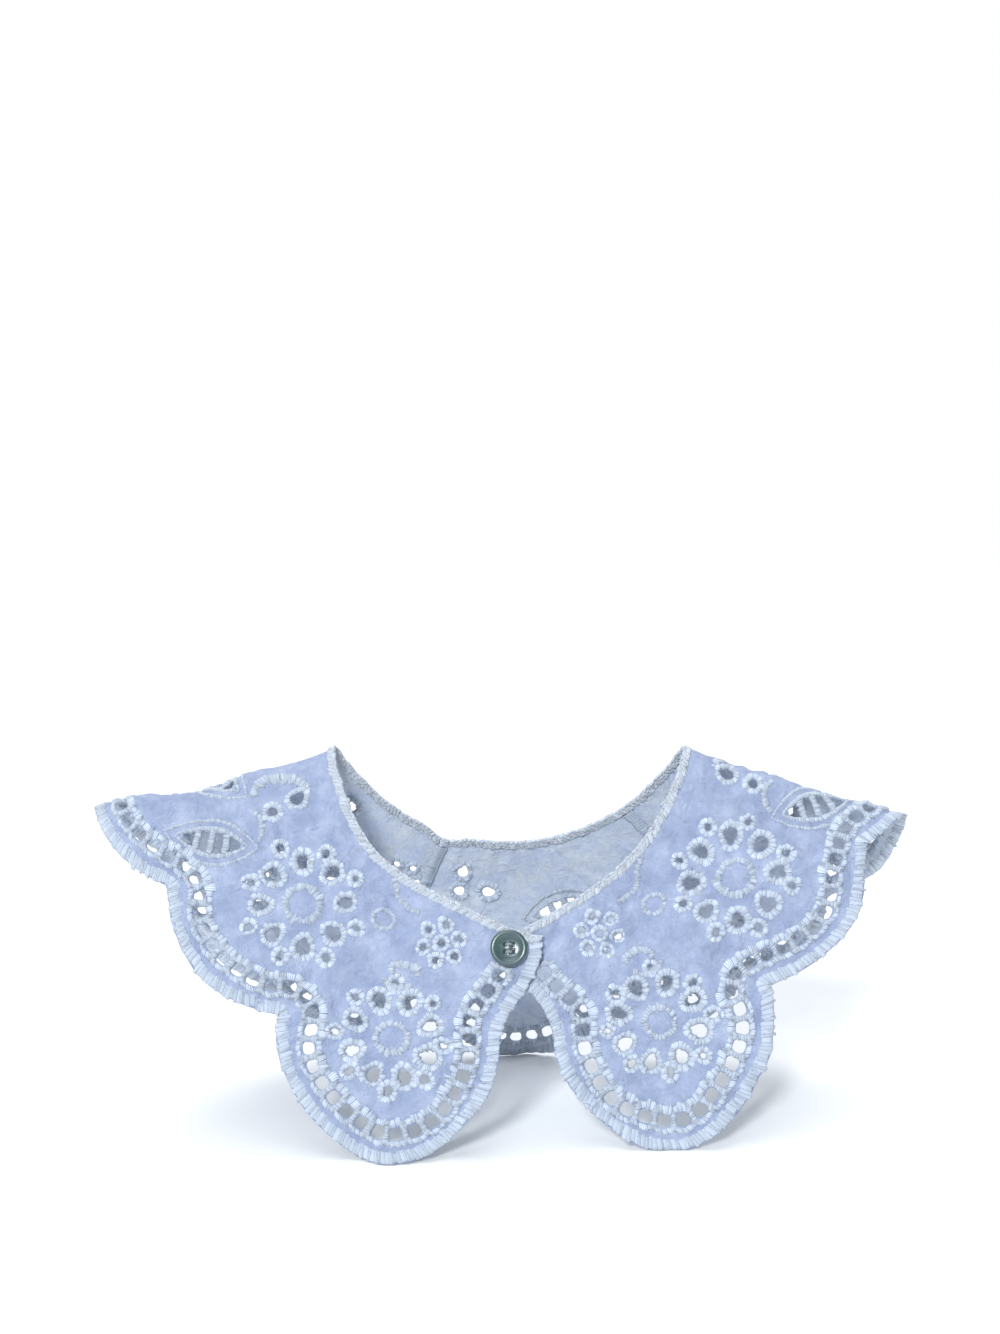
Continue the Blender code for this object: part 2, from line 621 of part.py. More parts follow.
def shank_mesh():
    """Wound thread between the button and the cloth of the right front, through the slit."""
    centre, across, up, normal = button_frame()
    best = None
    for q in np.linspace(RIDGE + 66, RIDGE + 84, 73):
        for r in np.linspace(BUTTON_AT[1] - 3, BUTTON_AT[1] + 3, 25):
            point = middle(np.array([q]), np.array([r]), True)[0]
            away = np.linalg.norm(np.cross(point - centre, normal))
            if best is None or away < best[0]:
                best = (away, float(np.dot(point - centre, normal)))
    low = best[1] + WALL / 2 + GAP
    high = WALL / 2 + 0.8 - GAP
    ring = [(1.15 * math.cos(k / 10 * 2 * math.pi), 1.15 * math.sin(k / 10 * 2 * math.pi)) for k in range(10)]
    stations = [(centre + normal * h, across, up) for h in np.linspace(low, high, 4)]
    return swept(stations, ring)


def main():
    for item in list(bpy.data.objects):
        bpy.data.objects.remove(item, do_unlink=True)
    holes = ladder_holes() + motif_holes()
    slit = slit_hole()
    outline_left = piece_outline(None, LEFT_SEAM)
    outline_back = piece_outline(LEFT_SEAM, RIGHT_SEAM)
    outline_right = piece_outline(RIGHT_SEAM, None)
    pieces = {
        "front_left": cloth_mesh(outline_left, holes + [slit], False),
        "front_right": cloth_mesh(outline_right, holes, True),
        "back": cloth_mesh(outline_back, holes, False),
        "neck_binding": neck_binding(),
        "seam_left": seam_strip(LEFT_SEAM),
        "seam_right": seam_strip(RIGHT_SEAM),
        "button": button_mesh(),
        "button_shank": shank_mesh(),
    }
    low = np.min([v.min(axis=0) for v, _ in pieces.values()], axis=0)
    high = np.max([v.max(axis=0) for v, _ in pieces.values()], axis=0)
    shift = np.array([(low[0] + high[0]) / 2, (low[1] + high[1]) / 2, 0.0])
    for name, (verts, faces) in pieces.items():
        mesh = bpy.data.meshes.new(name)
        mesh.from_pydata([tuple((v - shift) / 1000) for v in verts], [], [tuple(int(i) for i in f) for f in faces])
        mesh.validate()
        item = bpy.data.objects.new(name, mesh)
        bpy.context.scene.collection.objects.link(item)


main()
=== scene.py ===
"""Looks of the peter pan collar: white cotton voile with cutwork embroidery and one grey-green shell button.

Shapes are worked out on the flat pattern of the collar and then laid on the surface that the CAD
solids follow.  Flat lengths are in pattern units, lifts off the cloth in millimetres.
"""
import math

import bpy
import numpy as np
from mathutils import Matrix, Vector
from mathutils.geometry import delaunay_2d_cdt
from mathutils.kdtree import KDTree


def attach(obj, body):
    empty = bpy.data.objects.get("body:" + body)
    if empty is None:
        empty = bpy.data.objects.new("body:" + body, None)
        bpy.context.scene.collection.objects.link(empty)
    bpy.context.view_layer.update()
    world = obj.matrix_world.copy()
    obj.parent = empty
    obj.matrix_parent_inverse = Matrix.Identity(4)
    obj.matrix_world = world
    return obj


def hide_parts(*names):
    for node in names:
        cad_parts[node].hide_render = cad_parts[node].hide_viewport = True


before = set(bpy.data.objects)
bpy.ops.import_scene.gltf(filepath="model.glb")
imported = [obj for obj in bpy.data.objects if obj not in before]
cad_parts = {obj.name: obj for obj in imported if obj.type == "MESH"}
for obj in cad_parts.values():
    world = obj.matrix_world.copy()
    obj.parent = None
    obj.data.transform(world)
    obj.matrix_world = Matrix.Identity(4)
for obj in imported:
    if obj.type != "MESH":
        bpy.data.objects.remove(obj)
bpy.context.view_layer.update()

# The collar's surface, as the CAD solids have it.
SIZE = 1.10            # millimetres to one pattern unit
APEX_HEIGHT = 155.9
LENS_HALF_WIDTH = 3.55
LENS_FRONT = 0.386
LENS_BACK = 0.375
LENS_POWER = 1.49
FOLD_SOFTNESS = 2.0
RIDGE = 74.13
SLIDE = 3.36
PATTERN_TURN = 296.7
UNDERLAP = 0.0280
UNDERLAP_LOBE = 0.0400
RIGHT_DROP = 4.9
RIGHT_DRAW = 0.9
BOX_MIDDLE = (-1.996, -0.580)  # middle of the collar's box from the cone's axis, mm

LEFT_SEAM = -18.0
RIGHT_SEAM = 45.5
LEFT_CORNER = -(RIDGE + 78.4)
RIGHT_CORNER = RIDGE + 82.8
WALL = 1.2

# Pattern tables: angle past the shoulder line in degrees, radius from the apex.
NECK = [(-95, 62.4), (-74, 62.6), (-45, 62.8), (-22, 63.6), (-9, 65.0), (0, 66.4), (12, 67.6), (23, 69.2),
        (34, 71.9), (46, 75.0), (56, 77.8), (64, 81.0), (71, 85.0), (78.4, 89.0), (86, 91.0)]
SEAM_DIP = 3.0
LEFT_SAG = 2.9
# Lift of the left shoulder line: radius, mm.
LEFT_TIP = [(66.0, 0.0), (90.0, -2.2), (118.0, -2.0), (130.0, 0.5), (140.0, 3.3), (150.0, 5.2), (162.0, 6.6)]
LEFT_TIP_SPREAD = 9.0
BACK_NOTCHES = [(-60.0, 147.0), (-34.0, 162.0), (-8.0, 151.6), (19.0, 151.6), (40.0, 158.0), (58.0, 150.0)]
BACK_DEPTH = [5.5, 11.0, 15.6, 10.0, 8.0]
LEFT_NOTCHES = [(-14.13, 147.0), (11.5, 140.8), (36.5, 141.2)]
RIGHT_NOTCHES = [(-16.13, 150.0), (11.2, 141.2), (36.5, 141.2)]
LEFT_DEPTH = [14.2, 8.6]
RIGHT_DEPTH = [11.5, 8.6]
LOBE = [(36.5, 141.2), (37.6, 146.2), (39.5, 152.1), (41.9, 158.0), (44.8, 163.2), (48.3, 168.0),
        (52.2, 171.8), (55.6, 173.4), (58.6, 171.6), (61.7, 166.2), (64.6, 157.7), (67.2, 148.0),
        (68.7, 140.2), (69.5, 131.8)]
LEFT_EDGE = [(69.8, 123.0), (71.2, 115.4), (73.6, 108.5), (76.1, 101.7), (77.8, 95.5), (78.4, 89.0)]
RIGHT_EDGE = [(69.5, 124.5), (70.2, 117.6), (71.9, 111.0), (74.6, 104.6), (78.2, 98.8), (81.4, 93.8),
              (82.8, 89.6)]

# Embroidery, in pattern units: the hem's edging, the ladder of holes, flowers, leaves and small work.
EDGING = 4.5
LADDER_INSET = 10.4
LADDER_PITCH = 6.45
LADDER_HOLE = (4.9, 4.5)
LADDER_TOP = 99.0
# Places where the ladder runs further inside, or nearer to the hem: side, angle, radius, by how much,
# reach.
LADDER_BENDS = [(-1, 14.0, 131.0, 2.2, 4.5), (-1, 32.0, 136.0, -1.1, 7.0), (-1, 40.6, 132.5, 3.8, 9.5),
                (-1, 62.0, 153.0, -1.9, 11.0), (-1, 64.3, 116.0, 2.2, 6.5),
                (1, 18.0, 133.0, 3.0, 8.5), (1, 40.8, 131.0, 4.5, 9.5), (1, 53.0, 164.0, -1.1, 8.0),
                (1, 62.6, 151.0, -2.5, 10.0), (1, 64.3, 119.5, 1.8, 5.0), (1, 69.5, 105.0, -3.0, 6.5)]
CORD_AT = 3.3          # outside the ladder's line
BAND = (2.15, 5.1)     # inside the ladder's line
# Flowers: side, angle, radius, turn of the petals, petal ring radius, small ring radius, middle ring radius.
FLOWERS = [(-1, 53.0, 130.5, 9, 14.0, 18.6, 5.3), (1, 53.0, 130.5, 9, 14.0, 18.6, 5.3),
           (-1, 27.8, 105.4, 0, 15.0, 20.5, 6.3), (1, 27.6, 105.4, 0, 15.0, 20.5, 6.3),
           (-1, -33.0, 116.0, 12, 14.0, 19.0, 5.3), (1, -44.5, 127.0, 12, 14.0, 19.0, 5.3),
           (-1, -71.0, 128.0, 12, 14.0, 19.0, 5.3)]
PETAL = (5.7, 4.3)
SMALL_EYELET = (3.2, 2.5)
LEAVES = [(-1, 8.3, 119.3, 125), (1, 8.0, 119.3, 125), (-1, -5.0, 111.0, 141), (1, -5.0, 111.0, 141),
          (1, -57.0, 95.0, 176)]
LEAF_HOLE = (12.6, 4.4)
LEAF_LINE = (17.3, 8.3)
LEAF_BARS = [(-10.6, -6.1), (-4.8, -0.7), (0.7, 4.8), (6.1, 10.6)]
EYELETS = [(-1, -26.1, 74.0, 4.6, 3.9, 20), (-1, -64.9, 77.6, 4.8, 4.2, 90), (-1, -65.2, 86.6, 4.4, 4.0, 60),
           (-1, -72.6, 85.2, 4.9, 4.2, 10), (-1, 8.1, 84.4, 5.6, 4.4, 70), (1, 8.1, 84.4, 5.6, 4.4, 70),
           (-1, 8.35, 94.7, 3.6, 3.4, 0), (1, 8.35, 94.7, 3.6, 3.4, 0)]
# Clusters of seven eyelets: side, angle, radius, turn.
CLUSTERS = [(-1, 56.6, 93.3, -28), (1, 56.6, 93.3, -28), (-1, -50.0, 88.0, 10), (1, -18.0, 82.0, 20)]
CLUSTER_RING = 6.5
CLUSTER_EYELET = (2.7, 2.5)
# Lines of satin stitch on both fronts: points of (angle, radius), width at the ends, width in the middle.
SATIN_LINES = {
    "crescent": ([(3.0, 99.3), (0.9, 95.0), (0.3, 91.3), (2.3, 84.0), (5.2, 80.4), (7.8, 79.1)], 1.6, 4.2),
    "arch": ([(49.4, 109.2), (48.9, 106.6), (50.2, 104.9), (52.2, 104.3), (53.6, 105.2), (53.9, 107.0)],
             1.4, 2.8),
    "stem": ([(37.9, 75.8), (41.2, 79.0), (43.6, 83.5), (46.6, 85.2), (49.9, 85.6)], 1.1, 1.5),
    "tail": ([(47.8, 111.6), (49.6, 113.4), (51.9, 113.0), (53.5, 110.6)], 1.2, 2.2),
    "curl": ([(12.6, 104.4), (10.8, 101.0), (8.4, 99.6), (6.0, 100.6)], 1.1, 1.9),
}
SATIN_LOFT = 1.1       # width that the raised stitches add to such a line
OVAL_RING = (43.0, 92.6, 4.4, 3.9)
OVAL_LINE = 0.86       # where the satin's middle runs, as a share of the oval

BUTTON_AT = (71.1, 92.4)
BUTTON_STAND = 0.8     # its height over the solid cloth, mm
BUTTON_MIDDLE = 2.9    # radius of the part with the holes
BUTTON_FACE = 1.56
BUTTON_BACK = 0.1
# Turned section outside the middle: radius, height.
BUTTON_PROFILE = [(3.6, 1.66), (4.4, 1.84), (5.0, 2.10), (5.5, 2.34), (5.9, 2.45), (6.3, 2.46), (6.65, 2.38),
                  (6.95, 2.18), (7.15, 1.9), (7.25, 1.5), (7.2, 1.1), (7.0, 0.75), (6.6, 0.45), (5.6, 0.2),
                  (4.0, 0.1)]
BUTTON_HOLE_SPREAD = 1.45
BUTTON_HOLE_RADIUS = 0.75
BUTTON_HOLE_ROUNDING = (0.22, 1.44)  # width, and height of the face at the hole
SLIT = (9.8, 1.0)

# Stitches: pitch along their line, reach across it from low to high, height in mm, how ragged and slanted
# they are, and as base the lift of their middle in mm.
STITCHES = {
    "edging": dict(pitch=1.32, low=-EDGING / 2 - 0.15, high=EDGING / 2, height=0.62, ragged=0.34, lean=0.20,
                   corners=8),
    "cord": dict(pitch=1.15, low=-CORD_AT - 1.10, high=-CORD_AT + 1.05, height=1.25, ragged=0.20, lean=0.45),
    "band": dict(pitch=1.32, low=BAND[0], high=BAND[1], height=1.10, ragged=0.42, corners=8),
    "ladder bar": dict(pitch=1.0, height=1.05, ragged=0.08, lean=0.2),
    "eyelet": dict(pitch=0.98, high=0.10, ragged=0.26, closed=True),
    "flower ring": dict(pitch=1.10, low=-1.35, high=1.35, height=1.12, ragged=0.34, corners=8, closed=True),
    "leaf edge": dict(pitch=1.05, ragged=0.10),
    "leaf bar": dict(pitch=1.0, low=-1.4, high=1.4, height=0.92, ragged=0.16),
    "satin line": dict(pitch=0.98, height=0.92, ragged=0.30, lean=0.2),
    "oval ring": dict(pitch=1.0, low=-1.0, high=1.0, height=0.84, ragged=0.16, closed=True),
    "binding": dict(pitch=1.45, low=-2.85, high=0.20, height=0.92, ragged=0.26, lean=-0.60, corners=8),
    "bead": dict(pitch=1.6, low=-0.60, high=0.55, height=1.05, ragged=0.16, lean=0.6),
    "chain": dict(pitch=1.8, low=-0.30, high=0.30, height=1.02, ragged=0.20, lean=0.9),
    "overlock": dict(pitch=1.25, low=-2.0, high=2.0, height=0.32, ragged=0.25, base=-0.75, corners=8),
    "overlock edge": dict(pitch=1.6, low=-0.3, high=0.3, height=0.36, base=-0.85),
}
# One stitch: places along it from 0 to 1, and the share of its height there.
STITCH_STEPS = np.array([0.0, 0.18, 0.5, 0.82])
STITCH_RISE = np.array([0.0, 0.88, 1.0, 0.88])
# Section of a stitch by its number of corners: places across it from 0 to 1, and shares of its height.
STITCH_SECTIONS = {
    6: ([0.0, 0.2, 0.8, 1.0, 0.8, 0.2], [0.0, 1.0, 1.0, 0.0, -1.0, -1.0]),
    8: ([0.0, 0.09, 0.5, 0.91, 1.0, 0.91, 0.5, 0.09], [0.0, 0.76, 1.0, 0.76, 0.0, -0.76, -1.0, -0.76]),
}
GROOVE_PINCH = 0.24    # how much shorter the bar is in the groove between two stitches, pattern units
GROOVE_FLOOR = 0.30    # least height of a groove, mm
GROOVE_SHARE = 0.34    # height of a groove, as a share of the stitch
# Painted shade: thread colour near the groove between two stitches, darker where the groove's shade falls
GROOVE_SHADE_TINT = (0.84, 0.87, 0.91)

CLOTH = 0.25           # half thickness of the shown cloth, mm
CLOTH_STEP = 1.3       # triangle side of the cloth mesh, pattern units
HEM_STEP = 0.6         # step of the hem where lines are worked out from it
NECK_TURN = 0.5        # how far the cloth keeps below the neck's edge
SEAM_GAP = 0.03        # from a seam to the cloth on either side


def section_table():
    """Unit directions of the cone's section, at equal angles measured along the cloth."""
    turn = np.linspace(-np.pi, np.pi, 24001)
    power = 2.0 / LENS_POWER
    x = LENS_HALF_WIDTH * np.sign(np.sin(turn)) * np.abs(np.sin(turn)) ** power
    cosine = np.cos(turn)
    depth = np.where(cosine >= 0, LENS_BACK, LENS_FRONT)
    y = depth * np.sign(cosine) * np.abs(cosine) ** power
    ray = np.stack([x, y, -np.ones_like(x)], axis=1)
    ray /= np.linalg.norm(ray, axis=1)[:, None]
    step = np.linalg.norm(np.diff(ray, axis=0), axis=1)
    along = np.degrees(np.concatenate([[0.0], np.cumsum(step)]))
    full = along[-1]
    count = 2400
    even = np.arange(count) * full / count
    table = np.stack([np.interp(even, along, ray[:, k]) for k in range(3)], axis=1)
    reach = int(3 * FOLD_SOFTNESS / (full / count))
    offsets = np.arange(-reach, reach + 1)
    weight = np.exp(-0.5 * (offsets * full / count / FOLD_SOFTNESS) ** 2)
    weight /= weight.sum()
    soft = sum(w * np.roll(table, -int(k), axis=0) for w, k in zip(weight, offsets))
    return soft / np.linalg.norm(soft, axis=1)[:, None]


SECTION = section_table()


def direction(angle):
    """Ray from the apex at a signed angle from the middle of the back, positive to the viewer's right."""
    part_turn = angle / PATTERN_TURN + 0.5
    place = (part_turn % 1.0) * len(SECTION)
    low = np.floor(place).astype(int)
    part = (place - low)[..., None]
    ray = SECTION[low % len(SECTION)] * (1 - part) + SECTION[(low + 1) % len(SECTION)] * part
    return ray / np.linalg.norm(ray, axis=-1)[..., None]


def shoulder_lift(q, r):
    table = np.array(LEFT_TIP)
    return np.interp(r, table[:, 0], table[:, 1]) * np.exp(-((q + RIDGE - SLIDE) / LEFT_TIP_SPREAD) ** 2)


def middle(q, r):
    """Middle of the cloth at pattern angle q and radius r, mm; the right front lies behind the left one."""
    right = q > 0
    turn = q + np.where(right, RIGHT_DRAW * np.clip((q - RIDGE - 18.0) / 25.0, 0, 1), 0)
    hang = np.clip((r - 108.0) / 62.0, 0, 1) * np.clip((q - RIDGE - 30.0) / 12.0, 0, 1)
    reach = r + np.where(right, RIGHT_DROP * hang * hang, 0)
    point = direction(turn - SLIDE) * (reach * SIZE)[..., None]
    t = np.clip((r - 94.0) / 72.0, 0, 1)
    back = UNDERLAP + UNDERLAP_LOBE * t * t * (3 - 2 * t)
    point[..., 1] *= np.where(right & (point[..., 1] < 0), 1 - back / LENS_FRONT, 1.0)
    point[..., 2] += APEX_HEIGHT * SIZE + shoulder_lift(q, r)
    return point


def slopes(q, r):
    """Unit vectors on the cloth: round the collar, down it, and out of it."""
    across = middle(q + 0.25, r) - middle(q - 0.25, r)
    down = middle(q, r + 0.3) - middle(q, r - 0.3)
    normal = np.cross(across, down)
    return [v / np.linalg.norm(v, axis=-1)[..., None] for v in (across, down, normal)]


def flat(q, r):
    turn = np.radians(q)
    return np.stack([r * np.sin(turn), -r * np.cos(turn)], axis=-1)


def polar(xy):
    return np.degrees(np.arctan2(xy[..., 0], -xy[..., 1])), np.hypot(xy[..., 0], xy[..., 1])


def on_cloth(xy, lift):
    """Points in metres, lifted off the creased cloth; what would sink into the table lies level on it."""
    q, r = polar(xy)
    point = middle(q, r) + slopes(q, r)[2] * (lift + CREASES.at(xy))[..., None]
    top = APEX_HEIGHT * SIZE
    shrink = np.where(point[..., 2] < 0, top / (top - np.minimum(point[..., 2], 0)), 1.0)
    point[..., 0] *= shrink
    point[..., 1] *= shrink
    point[..., 2] = np.maximum(point[..., 2], 0.0)
    point[..., 0] -= BOX_MIDDLE[0]
    point[..., 1] -= BOX_MIDDLE[1]
    return point / 1000


def curve_through(points, step):
    """Smooth curve through points in the flat, about one point every step."""
    points = np.asarray(points, float)
    ends = np.vstack([2 * points[0] - points[1], points, 2 * points[-1] - points[-2]])
    out = []
    for k in range(1, len(ends) - 2):
        p0, p1, p2, p3 = ends[k - 1:k + 3]
        count = max(1, int(round(np.linalg.norm(p2 - p1) / step)))
        t = (np.arange(count) / count)[:, None]
        out.append(0.5 * (2 * p1 + (p2 - p0) * t + (2 * p0 - 5 * p1 + 4 * p2 - p3) * t ** 2
                          + (3 * p1 - p0 - 3 * p2 + p3) * t ** 3))
    out.append(points[-1:])
    return np.vstack(out)


NECK_CURVE = curve_through(np.array(NECK), 1.0)


def neck_radius(q):
    dip = SEAM_DIP * np.exp(-((q - LEFT_SEAM) / 6.0) ** 2)
    dip = dip + LEFT_SAG * np.exp(-((q + RIDGE + 29.0) / 17.0) ** 2)
    return np.interp(np.abs(q) - RIDGE, NECK_CURVE[:, 0], NECK_CURVE[:, 1]) + dip


def scallops(notches, depths, step):
    """Row of scallops through its notches, given as (pattern angle, radius), without the last notch."""
    out = []
    for (q0, r0), (q1, r1), depth in zip(notches, notches[1:], depths):
        count = max(2, int(round(abs(q1 - q0) * 2.6 / step)))
        t = np.arange(count) / count
        out.append(flat(q0 + (q1 - q0) * t, r0 + (r1 - r0) * t + depth * np.sin(np.pi * t)))
    return np.vstack(out)


def hem_side(side, step):
    notches = [(side * (RIDGE + a), r) for a, r in (LEFT_NOTCHES if side < 0 else RIGHT_NOTCHES)]
    table = np.array(LOBE + (LEFT_EDGE if side < 0 else RIGHT_EDGE))
    control = flat(side * (RIDGE + table[:, 0]), table[:, 1])
    row = scallops(notches, LEFT_DEPTH if side < 0 else RIGHT_DEPTH, step)
    return np.vstack([row, curve_through(control, step)])


def hem(step):
    """Whole hem, from the front corner on the viewer's left round the back to the one on the right."""
    back = scallops(BACK_NOTCHES, BACK_DEPTH, step)
    return np.vstack([hem_side(-1, step)[:0:-1], back, hem_side(1, step)])


def smoothed(line, times):
    line = line.copy()
    for _ in range(times):
        line[1:-1] = 0.5 * line[1:-1] + 0.25 * (line[:-2] + line[2:])
    return line


def inset_line(inset, softness):
    """Hem moved inwards; it turns round each notch on an arc."""
    edge = hem(HEM_STEP)
    tangent = np.gradient(edge, axis=0)
    tangent /= np.linalg.norm(tangent, axis=1)[:, None]
    inward = np.stack([-tangent[:, 1], tangent[:, 0]], axis=1)
    fan = []
    for k in range(len(edge) - 1):
        fan.append(edge[k] + inward[k] * inset)
        cross = inward[k][0] * inward[k + 1][1] - inward[k][1] * inward[k + 1][0]
        swing = math.atan2(cross, np.dot(inward[k], inward[k + 1]))
        for m in range(1, int(abs(swing) / 0.08) + 1):
            part = swing * m / (int(abs(swing) / 0.08) + 1)
            c, s = math.cos(part), math.sin(part)
            ray = np.array([c * inward[k][0] - s * inward[k][1], s * inward[k][0] + c * inward[k][1]])
            fan.append(edge[k] + ray * inset)
    fan = np.array(fan)
    reach = np.concatenate([np.min(np.linalg.norm(part[:, None] - edge[None], axis=2), axis=1)
                            for part in np.array_split(fan, 8)])
    return smoothed(fan[reach > inset - 0.12], softness)


def lengths(line):
    return np.concatenate([[0], np.cumsum(np.linalg.norm(np.diff(line, axis=0), axis=1))])


def walk(line, at, reach=0.7):
    """Points of a line at the lengths asked, with the unit tangent there."""
    length = lengths(line)
    behind, point, ahead = [np.stack([np.interp(place, length, line[:, k]) for k in (0, 1)], axis=-1)
                            for place in (at - reach, at, at + reach)]
    tangent = ahead - behind
    return point, tangent / np.linalg.norm(tangent, axis=-1)[..., None]


def left_of(tangent):
    return np.stack([-tangent[..., 1], tangent[..., 0]], axis=-1)


def ladder_line():
    """Line of the ladder holes, drawn further inside or nearer to the hem at its bends."""
    line = inset_line(LADDER_INSET, 30)
    along = np.gradient(line, axis=0)
    along /= np.linalg.norm(along, axis=1)[:, None]
    amount = np.zeros(len(line))
    for side, a, r, by, reach in LADDER_BENDS:
        away = np.linalg.norm(line - flat(np.array(side * (RIDGE + a)), np.array(r)), axis=1)
        amount += by * np.exp(-(away / reach) ** 2)
    line = line + left_of(along) * amount[:, None]
    q, r = polar(line)
    return line[~((np.abs(q) > RIDGE + 60) & (r < LADDER_TOP))]


def ladder_places(line):
    """Middle and direction of every ladder hole, as the CAD solids have them, and whether it is cut."""
    full = lengths(line)[-1]
    count = int(full / LADDER_PITCH)
    at = (np.arange(count) + 0.5) * full / count
    centre, along = walk(line, at, 1.5)
    q, r = polar(centre)
    clear = np.minimum(np.abs(np.radians(q - LEFT_SEAM)) * r, np.abs(np.radians(q - RIGHT_SEAM)) * r)
    return at, centre, along, clear > LADDER_HOLE[0] / 2 + 1.4


def part_of(q):
    return "front_left" if q < LEFT_SEAM else ("back" if q < RIGHT_SEAM else "front_right")


class MotifFrame:
    """Flat frame of a motif: forward round the collar, then down towards the hem."""

    def __init__(self, side, a, r):
        q = side * (RIDGE + a)
        turn = math.radians(q)
        self.part = part_of(q)
        self.centre = flat(np.array(q), np.array(float(r)))
        self.down = self.centre / np.linalg.norm(self.centre)
        self.forward = side * np.array([math.cos(turn), math.sin(turn)])

    def points(self, local):
        local = np.asarray(local, float)
        return self.centre + self.forward * local[..., :1] + self.down * local[..., 1:2]


def turned(points, angle, at=(0.0, 0.0)):
    c, s = math.cos(angle), math.sin(angle)
    x, y = np.asarray(points, float).T
    return np.stack([at[0] + c * x - s * y, at[1] + s * x + c * y], axis=1)


def teardrop(length, width):
    """Closed petal outline: round at +x, drawn to a point at -x."""
    t = np.arange(20) / 20 * 2 * np.pi
    x = 0.5 * np.cos(t)
    y = 0.48 * np.sin(t) * (1 + 0.32 * np.cos(t))
    return np.stack([x * length, y * width], axis=1)


def oval(length, width, corners=16):
    t = np.arange(corners) / corners * 2 * np.pi
    return np.stack([0.5 * length * np.cos(t), 0.5 * width * np.sin(t)], axis=1)


def inside(points, ring):
    """Which points lie inside a closed ring."""
    x, y = points[:, 0][:, None], points[:, 1][:, None]
    x0, y0 = ring[:, 0][None], ring[:, 1][None]
    x1, y1 = np.roll(ring[:, 0], -1)[None], np.roll(ring[:, 1], -1)[None]
    spans = (y0 > y) != (y1 > y)
    with np.errstate(divide="ignore", invalid="ignore"):
        cross = x < (x1 - x0) * (y - y0) / np.where(y1 == y0, 1e-12, y1 - y0) + x0
    return np.sum(spans & cross, axis=1) % 2 == 1


def anticlockwise(ring):
    x, y = ring.T
    area = np.sum(x * np.roll(y, -1) - y * np.roll(x, -1))
    return ring[::-1] if area < 0 else ring


def tree_of(points):
    """Search tree for the nearest of some flat points."""
    tree = KDTree(len(points))
    for k, (x, y) in enumerate(points):
        tree.insert((x, y, 0), k)
    tree.balance()
    return tree


def eyelet_shapes():
    """Every embroidered eyelet as (frame, local outline, satin width), big ones first."""
    shapes = []
    rng = np.random.default_rng(3)
    for side, a, r, turn, petals, small, _ in FLOWERS:
        place = MotifFrame(side, a, r)
        for k in range(8):
            angle = math.radians(turn + 45 * k)
            at = (petals * math.cos(angle), petals * math.sin(angle))
            grow = 1 + 0.06 * rng.standard_normal()
            petal = teardrop(PETAL[0] * grow, PETAL[1] * grow)
            ring = turned(petal, angle + 0.08 * rng.standard_normal(), at)
            shapes.append((place, ring, 2.3))
        for k in range(8):
            angle = math.radians(turn + 22.5 + 45 * k + 3.0 * rng.standard_normal())
            reach = small + 0.5 * rng.standard_normal()
            at = (reach * math.cos(angle), reach * math.sin(angle))
            grow = 1 + 0.10 * rng.standard_normal()
            ring = turned(oval(SMALL_EYELET[0] * grow, SMALL_EYELET[1] * grow, 12), angle, at)
            shapes.append((place, ring, 2.0))
    for side, a, r, turn in CLUSTERS:
        place = MotifFrame(side, a, r)
        for k in range(7):
            angle = math.radians(turn + 60 * k)
            reach = CLUSTER_RING if k < 6 else 0.0
            at = (reach * math.cos(angle), reach * math.sin(angle))
            ring = turned(oval(CLUSTER_EYELET[0], CLUSTER_EYELET[1], 12), angle, at)
            shapes.append((place, ring, 1.6))
    for side, a, r, length, width, angle in EYELETS:
        shapes.append((MotifFrame(side, a, r), turned(teardrop(length, width), math.radians(angle)), 2.0))
    return shapes


def buttonhole_shape():
    """Frame and local outline of the slit under the button."""
    return MotifFrame(-1, *BUTTON_AT), oval(SLIT[0] / SIZE, SLIT[1] / SIZE, 24)


def leaf_hole_outlines():
    out = []
    for side, a, r, rib in LEAVES:
        place = MotifFrame(side, a, r)
        for low, high in LEAF_BARS:
            u = np.linspace(low, high, 5)
            half = LEAF_HOLE[1] * (1 - (u / LEAF_HOLE[0]) ** 2) * 0.96
            ring = np.vstack([np.stack([u, half], axis=1), np.stack([u, -half], axis=1)[::-1]])
            out.append(place.points(turned(ring, math.radians(rib))))
    return out


def ladder_hole_outlines(line):
    """Rounded squares, each a little different."""
    rng = np.random.default_rng(5)
    _, centre, along, cut = ladder_places(line)
    t = np.arange(16) / 16 * 2 * np.pi
    out = []
    for c, d, is_cut in zip(centre, along, cut):
        size = 1 + 0.05 * rng.standard_normal(2)
        if not is_cut:
            continue
        u = 0.5 * LADDER_HOLE[0] * size[0] * np.sign(np.cos(t)) * np.abs(np.cos(t)) ** 0.72
        v = 0.5 * LADDER_HOLE[1] * size[1] * np.sign(np.sin(t)) * np.abs(np.sin(t)) ** 0.72
        out.append(c + d * u[:, None] + left_of(d) * v[:, None])
    return out


